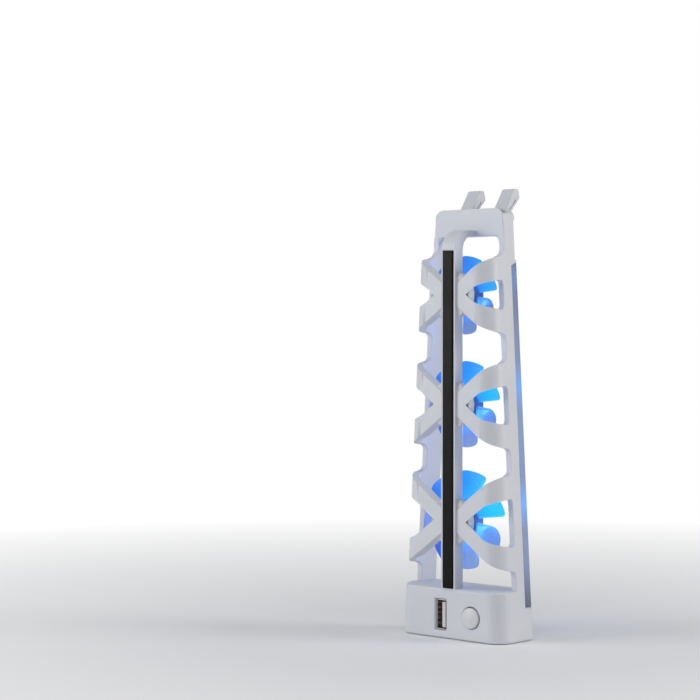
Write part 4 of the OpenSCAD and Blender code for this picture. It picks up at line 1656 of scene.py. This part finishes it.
@dataclass
class Shell:
    """The moulded frame with its covers, the strip and the screws."""

    pieces: tuple[Softened, ...] = (
        Softened("main_frame", "frame_moulding", "shell_white", SHELL_WHITE, radius=0.3, rims=(
            RolledRim(Looks.DOWN, "main_frame"),
            RolledRim(Looks.UP, "spine_cover", rear_fade=(5.0, 8.0), middle_fade=(4.0, 5.5)),
        )),
        Softened("box_rear_cover", "rear_cover_moulding", "shell_white", COVER_WHITE,
                 radius=0.3),
        Softened("hook_bracket", "hook_moulding", "shell_white", COVER_WHITE, radius=0.4),
        Softened("spine_cover", "spine_strip", "strip_black", STRIP_BLACK, radius=0.15),
    )
    screws: tuple[Screws, ...] = (
        Screws("cover_screws", "cover_screw_set"),
        Screws("hook_screws", "hook_screw_set"),
    )

    def build(self) -> None:
        """Rounds the mouldings and the strip, and turns the screws."""
        for piece in (*self.pieces, *self.screws):
            piece.build()


@dataclass
class SideLights:
    """The two light bars with the boards and lamps behind them. Lengths are in mm."""

    sides: tuple[str, ...] = ("left", "right")
    edge: float = 0.2
    spot_lift: float = 8.0
    spot_shares: tuple[float, ...] = (1.0, 0.85, 0.35)

    def build(self) -> None:
        """Gives each bar rounded edges and a glow, brighter a little above each fan's axis."""
        low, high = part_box("light_bar_right")
        axes = [sum(end.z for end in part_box(f"shaft_{fan.value}")) / 2 for fan in Fan]
        spots = tuple((z + self.spot_lift * MM, share)
                      for z, share in zip(axes, self.spot_shares))
        glow = LightGuide("light_guide", low.z, high.z, spots)
        for side in self.sides:
            Softened(f"light_bar_{side}", f"light_guide_{side}", "light_guide", glow,
                     self.edge).build()
            dress(f"led_board_{side}", BOARD_WHITE)
        dress("side_leds", BAR_LAMP)


@dataclass(frozen=True)
class ButtonCap:
    """The push button: a turned cap with a soft rim and a dome, on the flange that holds it.

    Lengths are in mm, angles in degrees.
    """

    proud: float = 0.85
    dome: float = 0.8
    rim: float = 0.4
    rim_turns: tuple[float, ...] = (90.0, 67.0, 45.0, 24.0)
    flange_soft: float = 0.15
    rings: int = 10

    def build(self) -> None:
        """Turns the button about the middle of its CAD node, with that node's sizes."""
        low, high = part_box("power_button")
        middle = (low + high) / 2
        spans = spans_of(points_of("power_button"), middle.x, middle.z)
        flange, rear = max(radius for radius, _ in spans), high.y / MM
        shelf = min(y for radius, y in spans if radius > flange - HAIR)
        cap = max(radius for radius, y in spans if y < shelf - HAIR)
        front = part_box("main_frame")[0].y / MM - self.proud
        inner = cap - self.rim
        section = [(0.0, rear), (flange - self.flange_soft, rear),
                   (flange, rear - self.flange_soft), (flange, shelf), (cap, shelf),
                   *corner(inner, front, self.rim, -1, self.rim_turns),
                   *crown(inner, front, -self.dome, self.rings)]

        def place(radius: float, y: float, turn: float) -> Vector:
            """A point on the button."""
            x, z = math.cos(math.radians(turn)), math.sin(math.radians(turn))
            return Vector((middle.x + radius * x * MM, y * MM, middle.z + radius * z * MM))

        net = bmesh.new()
        turned(net, section, place)
        bmesh.ops.recalc_face_normals(net, faces=net.faces)
        enter("button_cap", net, "power_button", Body.BUTTON, BUTTON_WHITE)


@dataclass(frozen=True)
class SocketTongue:
    """The tongue of the front port, drawn forward almost to the wall, on its block.

    Lengths are in mm.
    """

    inset: float = 0.6
    edge: float = 0.18
    segments: int = 2

    def build(self) -> None:
        """Joins the block and the tongue into one skin with rounded edges."""
        low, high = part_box("usb_socket_tongue")
        points = points_of("usb_socket_tongue")
        tip = [q for q in points if q.y < low.y + HAIR * MM]
        block = min(q.y for q in points if q.x < low.x + HAIR * MM)
        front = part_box("main_frame")[0].y + self.inset * MM
        wide = (low.x, high.x, low.z, high.z)
        thin = (min(q.x for q in tip), max(q.x for q in tip),
                min(q.z for q in tip), max(q.z for q in tip))
        rings = [[(x0, y, z0), (x1, y, z0), (x1, y, z1), (x0, y, z1)] for (x0, x1, z0, z1), y in (
            (wide, high.y), (wide, block), (thin, block), (thin, front))]
        net = bmesh.new()
        lofted(net, rings)
        bmesh.ops.recalc_face_normals(net, faces=net.faces)
        bmesh.ops.bevel(net, geom=net.edges[:], offset=self.edge * MM, segments=self.segments,
                        profile=0.5, affect="EDGES")
        enter("usb_socket_tongue_moulding", net, "usb_socket_tongue", Body.FRAME,
              TONGUE_WHITE)


@dataclass
class Controls:
    """The ports, the button and the boards in the control box."""

    button: ButtonCap = ButtonCap()
    tongue: SocketTongue = SocketTongue()
    sheets: tuple[Softened, ...] = (
        Softened("usb_socket_shell", "usb_socket_sheet", "nickel", NICKEL, radius=0.08),
        Softened("usb_plug_shell", "usb_plug_sheet", "nickel", NICKEL, radius=0.08),
    )
    finishes: dict[str, Finish] = field(default_factory=lambda: {
        "usb_plug_tongue": INSULATOR, "usb_contacts": GOLD,
        "usb_board": BOARD, "control_board": BOARD,
        "tact_switch": INSULATOR, "switch_plunger": INSULATOR,
        "wire_header": HEADER_IVORY, "fan_wires": WIRE_RED,
    })

    def build(self) -> None:
        """Builds the button, the tongue and the sheets, and dresses the rest of the box."""
        for piece in (self.button, self.tongue, *self.sheets):
            piece.build()
        for node, finish in self.finishes.items():
            dress(node, finish)


@dataclass
class FanWheel:
    """A fan wheel with smooth blades and a rounded cup, in the place of its CAD solid.

    Lengths are in mm, angles in degrees; the corners of a blade are shares of the wheel's radius.
    The cup's groove is given by distances from its side, its dimple by radii, both with depths.
    """

    fan: Fan
    strength: float
    grey: float
    blades: int = 7
    first: float = 26.0
    half: float = 19.5
    flat: float = 8.0
    steep: float = 27.0
    wide_corner: float = 0.18
    tight_corner: float = 0.055
    corner_turns: tuple[float, ...] = tuple(100.0 - 10.0 * i for i in range(11))
    tip_steps: int = 8
    tip_lap: float = 0.15
    tip_power: int = 14
    tip_thin: float = 0.25
    edge_power: int = 12
    root_half: float = 2.65
    root_sunk: float = 0.8
    root_fillet: float = 0.9
    root_reach: float = 0.9
    blade_t: float = 1.0
    below_cup: float = 1.5
    steps: int = 20
    across: tuple[float, ...] = (-1.0, -0.994, -0.975, -0.9, -0.7, -0.4, 0.0,
                                 0.4, 0.7, 0.9, 0.975, 0.994, 1.0)
    cup_wall: float = 1.2
    lip: float = 0.25
    mouth: Places = ((0.3, 0.0), (0.08, 0.08), (0.0, 0.3))
    rim: float = 0.9
    rim_turns: tuple[float, ...] = (90, 70, 50, 30, 12, 0)
    groove: Places = ((1.5, 0.0), (1.75, 0.3), (2.35, 0.3), (2.6, 0.0))
    dimple: Places = ((2.4, 0.0), (2.1, 0.25), (0.0, 0.25))
    shaft_hole: float = 1.02
    shaft_seat: float = 0.4
    floor_soft: float = 0.4
    crease: float = 55.0
    axis: Vector = field(init=False)
    front: float = field(init=False)
    rear: float = field(init=False)
    tip: float = field(init=False)
    cup: float = field(init=False)

    def __post_init__(self) -> None:
        """Reads the axis and the sizes of the wheel from its CAD node."""
        low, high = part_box(f"rotor_{self.fan.value}")
        left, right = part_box(f"shaft_{self.fan.value}")
        self.axis = (left + right) / 2
        self.front, self.rear = low.y / MM, high.y / MM
        spans = spans_of(points_of(f"rotor_{self.fan.value}"), self.axis.x, self.axis.z)
        self.tip = max(radius for radius, _ in spans)
        self.cup = max(radius for radius, y in spans if y > self.rear - HAIR)

    def _spot(self, x: float, y: float, z: float, turn: float) -> Vector:
        """A point of the wheel.

        Args:
            x: distance from the axis along a blade.
            y: depth.
            z: distance across the blade.
            turn: the angle of the blade.

        Returns:
            The point, in metres.
        """
        c, s = math.cos(math.radians(turn)), math.sin(math.radians(turn))
        return Vector((self.axis.x + (x * c - z * s) * MM, y * MM,
                       self.axis.z + (x * s + z * c) * MM))

    def _edge(self, sign: int, radius: float) -> Section:
        """One edge of a blade's outline from the root to the middle of the tip, in even steps.

        Args:
            sign: 1 for the upper edge of a blade that points right, -1 for the lower.
            radius: radius of its tip corner.

        Returns:
            Places along and across the blade.
        """
        reach = self.tip - radius
        middle = self.half - math.degrees(math.asin(radius / reach))
        x, z = reach * math.cos(math.radians(middle)), reach * math.sin(math.radians(middle))
        line = [(self.cup - self.root_sunk, self.root_half)]
        for degrees in self.corner_turns:
            turn = math.radians(middle + degrees)
            line.append((x + radius * math.cos(turn), z + radius * math.sin(turn)))
        for i in range(1, self.tip_steps + 1):
            turn = math.radians(middle * (1 - i / self.tip_steps))
            lap = self.tip_lap if i == self.tip_steps else 0.0
            line.append((self.tip * math.cos(turn), self.tip * math.sin(turn) + lap))
        return [(along, sign * away) for along, away in evenly(line, self.steps)]

    def _depth(self, z: float) -> tuple[float, float]:
        """Where the middle of the sheet lies at a place across the blade.

        Args:
            z: the place.

        Returns:
            Its depth, and the angle of its slope in radians.
        """
        reach = self.tip * math.sin(math.radians(self.half))
        low, high = math.sin(math.radians(self.flat)), math.sin(math.radians(self.steep))
        bend = 2 * reach / (high - low)
        angle = math.asin(low + (z + reach) / bend)
        rise = bend * (math.cos(math.radians(self.flat)) - math.cos(angle))
        return self.rear - self.below_cup - rise - self.blade_t / 2, angle

    def _blade(self, net: Net, turn: float) -> None:
        """Adds one blade: rings of points across it, from the root to the tip.

        Args:
            net: the net that takes the blade.
            turn: the angle of the blade.
        """
        upper = self._edge(1, self.wide_corner * self.tip)
        lower = self._edge(-1, self.tight_corner * self.tip)
        rings = []
        for i, ((x0, z0), (x1, z1)) in enumerate(zip(lower, upper)):
            past_cup = max(0.0, (x0 + x1) / 2 - self.cup)
            fillet = 1.0 + self.root_fillet * math.exp(-past_cup / self.root_reach)
            share, power = i / self.steps, self.tip_power
            fade = (1.0 - share ** power) ** (1 / power) if share < 1 else self.tip_thin
            rear, front = [], []
            for w in self.across:
                x, z = (x0 + x1) / 2 + w * (x1 - x0) / 2, (z0 + z1) / 2 + w * (z1 - z0) / 2
                y, angle = self._depth(z)
                edge = (1.0 - abs(w) ** self.edge_power) ** (1 / self.edge_power)
                t = self.blade_t / 2 * fillet * fade * edge
                for face, side in ((rear, t), (front, -t)):
                    face.append(self._spot(x, y + side * math.cos(angle),
                                           z + side * math.sin(angle), turn))
            rings.append(rear + front[-2:0:-1])
        lofted(net, rings)

    def _cup(self, net: Net) -> None:
        """Adds the cup: a turned shell with rounded rims, a groove and a seat for the shaft.

        Args:
            net: the net that takes the cup.
        """
        r, y0, y1 = self.cup, self.front, self.rear
        inner, floor = r - self.cup_wall, y1 - self.cup_wall
        seat = y1 - self.shaft_seat
        section = [(inner, y0 + self.lip), (inner + self.lip, y0),
                   *((r - inset, y0 + depth) for inset, depth in self.mouth),
                   *corner(r - self.rim, y1, self.rim, 1, self.rim_turns),
                   *((r - inset, y1 - depth) for inset, depth in self.groove),
                   *((radius, y1 - depth) for radius, depth in self.dimple),
                   (0.0, seat), (self.shaft_hole, seat), (self.shaft_hole, floor),
                   (inner - self.floor_soft, floor), (inner, floor - self.floor_soft)]
        turned(net, section, lambda radius, y, turn: self._spot(radius, y, 0.0, turn))

    def build(self) -> None:
        """Builds the wheel and gives it its finish with painted light."""
        net = bmesh.new()
        self._cup(net)
        for i in range(self.blades):
            self._blade(net, self.first + i * 360.0 / self.blades)
        bmesh.ops.recalc_face_normals(net, faces=net.faces)
        finish = LitRotor(f"rotor_clear_{self.fan.value}", axis_height=self.axis.z,
                          hub=self.cup * MM, reach=self.tip * MM, blades=self.blades,
                          first=self.first, half=self.half, strength=self.strength,
                          grey=self.grey)
        enter(f"fan_wheel_{self.fan.value}", net, f"rotor_{self.fan.value}", self.fan.body(),
              finish, self.crease)


@dataclass
class FanUnit:
    """One fan: its wheel and its motor."""

    fan: Fan
    strength: float
    grey: float
    finishes: dict[str, Finish] = field(default_factory=lambda: {
        "magnet": MAGNET, "shaft": STEEL, "retainer": HEADER_IVORY, "bearing": BRONZE,
        "stator": CORE, "coils": COPPER, "motor_board": BOARD, "fan_leds": FAN_LAMP,
    })

    def build(self) -> None:
        """Builds the wheel and dresses the motor's pieces."""
        FanWheel(self.fan, self.strength, self.grey).build()
        for kind, finish in self.finishes.items():
            dress(f"{kind}_{self.fan.value}", finish)


@dataclass(frozen=True)
class Lamp:
    """A soft square lamp that faces the middle of the object, in metres and watts."""

    name: str
    at: tuple[float, float, float]
    side: float
    power: float
    colour: Colour = (1.0, 1.0, 1.0)

    def build(self) -> None:
        """Hangs the lamp."""
        data = bpy.data.lights.new(self.name, "AREA")
        data.size = self.side
        data.energy = self.power
        data.color = self.colour
        lamp = bpy.data.objects.new(self.name, data)
        lamp.location = self.at
        middle = (CAD_BOX[0] + CAD_BOX[1]) / 2
        lamp.rotation_mode = "QUATERNION"
        lamp.rotation_quaternion = (middle - Vector(self.at)).to_track_quat("-Z", "Y")
        bpy.context.scene.collection.objects.link(lamp)


@dataclass
class Studio:
    """The floor, the lamps, the surroundings and the camera, in metres."""

    camera_at: tuple[float, float, float] = (0.54838, -0.67524, 0.13479)
    look_along: tuple[float, float, float] = (-0.674164, 0.738512, -0.010140)
    lens_mm: float = 101.51
    sensor_mm: float = 36.0
    clip: Range = (0.01, 50.0)
    floor_size: float = 6.0
    floor_cells: int = 8
    floor_gap: float = 0.0002
    floor_fade: Range = (0.10, 0.55)
    fibre_scale: float = 700.0
    fibre_detail: float = 3.0
    paper: tuple[Colour, Colour] = (tone(246, 246, 247), tone(250, 250, 251))
    sky: Colour = (0.93, 0.96, 1.0)
    sky_strength: float = 0.24
    lamps: tuple[Lamp, ...] = (
        Lamp("top_light", (0.25, -0.25, 1.1), side=0.8, power=2.8),
        Lamp("right_light", (1.1, 0.65, 0.45), side=0.5, power=6.6, colour=(1.0, 0.985, 0.97)),
        Lamp("left_light", (-0.7, -1.0, 0.45), side=0.8, power=6.6, colour=(0.965, 0.98, 1.0)),
        Lamp("rear_light", (-0.6, 1.0, 0.6), side=0.8, power=1.0),
    )

    def _camera(self) -> None:
        """Puts the camera where the photograph was taken from."""
        data = bpy.data.cameras.new("camera")
        data.lens = self.lens_mm
        data.sensor_width = self.sensor_mm
        data.clip_start, data.clip_end = self.clip
        eye = bpy.data.objects.new("camera", data)
        eye.location = self.camera_at
        eye.rotation_mode = "QUATERNION"
        eye.rotation_quaternion = Vector(self.look_along).to_track_quat("-Z", "Y")
        bpy.context.scene.collection.objects.link(eye)
        bpy.context.scene.camera = eye

    def _paper(self) -> bpy.types.Material:
        """Makes the floor's finish: pale paper that fades to white away from the object.

        Returns:
            The material.
        """
        made = bpy.data.materials.new("floor_paper")
        hand = Hand.emptied(made)
        matt = hand.add("ShaderNodeBsdfDiffuse")
        where = hand.place()
        fibre = hand.noise(self.fibre_scale, where, self.fibre_detail)
        hand.feed(matt.inputs["Color"], hand.mix(fibre, *self.paper))
        x, y, _ = hand.parts(where)
        fade = hand.spread(hand.length(x, y), *self.floor_fade)
        seen = hand.looked_at("Is Camera Ray", "Is Glossy Ray", "Is Transmission Ray")
        white = hand.add("ShaderNodeEmission")
        hand.blend(hand.sum("MULTIPLY", fade, seen), matt.outputs[0], white.outputs[0],
                   "ShaderNodeOutputMaterial")
        return made

    def _floor(self) -> None:
        """Lays a pale floor that keeps the shadow near the object."""
        mesh = bpy.data.meshes.new("floor")
        net = bmesh.new()
        bmesh.ops.create_grid(net, x_segments=self.floor_cells, y_segments=self.floor_cells,
                              size=self.floor_size)
        net.to_mesh(mesh)
        net.free()
        floor = bpy.data.objects.new("floor", mesh)
        floor.location.z = CAD_BOX[0].z - self.floor_gap
        bpy.context.scene.collection.objects.link(floor)
        mesh.materials.append(self._paper())

    def _world(self) -> None:
        """Fills the surroundings: white where it is looked at, and a plain level of light."""
        world = bpy.data.worlds.new("studio")
        hand = Hand.emptied(world)
        light = hand.add("ShaderNodeBackground")
        hand.feed(light.inputs["Color"], self.sky)
        light.inputs["Strength"].default_value = self.sky_strength
        white = hand.add("ShaderNodeBackground")
        hand.feed(white.inputs["Color"], (1.0, 1.0, 1.0))
        hand.blend(hand.looked_at("Is Camera Ray", "Is Transmission Ray"), light.outputs[0],
                   white.outputs[0], "ShaderNodeOutputWorld")
        bpy.context.scene.world = world

    def build(self) -> None:
        """Sets up the whole stage."""
        self._camera()
        self._floor()
        self._world()
        for lamp in self.lamps:
            lamp.build()


def main() -> None:
    """Dresses every sub-assembly in order and sets up the stage."""
    logging.basicConfig(level=logging.INFO, format="%(name)s: %(message)s")
    bpy.context.scene.view_settings.view_transform = "Standard"
    Studio().build()
    # Painted light on the wheels: weaker going up, and the upper wheels painted dimmer and duller.
    fans = (FanUnit(Fan.LOWER, strength=1.0, grey=0.0),
            FanUnit(Fan.MIDDLE, strength=0.9, grey=0.15),
            FanUnit(Fan.UPPER, strength=0.75, grey=0.4))
    for assembly in (Shell(), SideLights(), Controls(), *fans):
        assembly.build()
        LOG.info("%s finished", type(assembly).__name__)


if __name__ == "__main__":
    main()
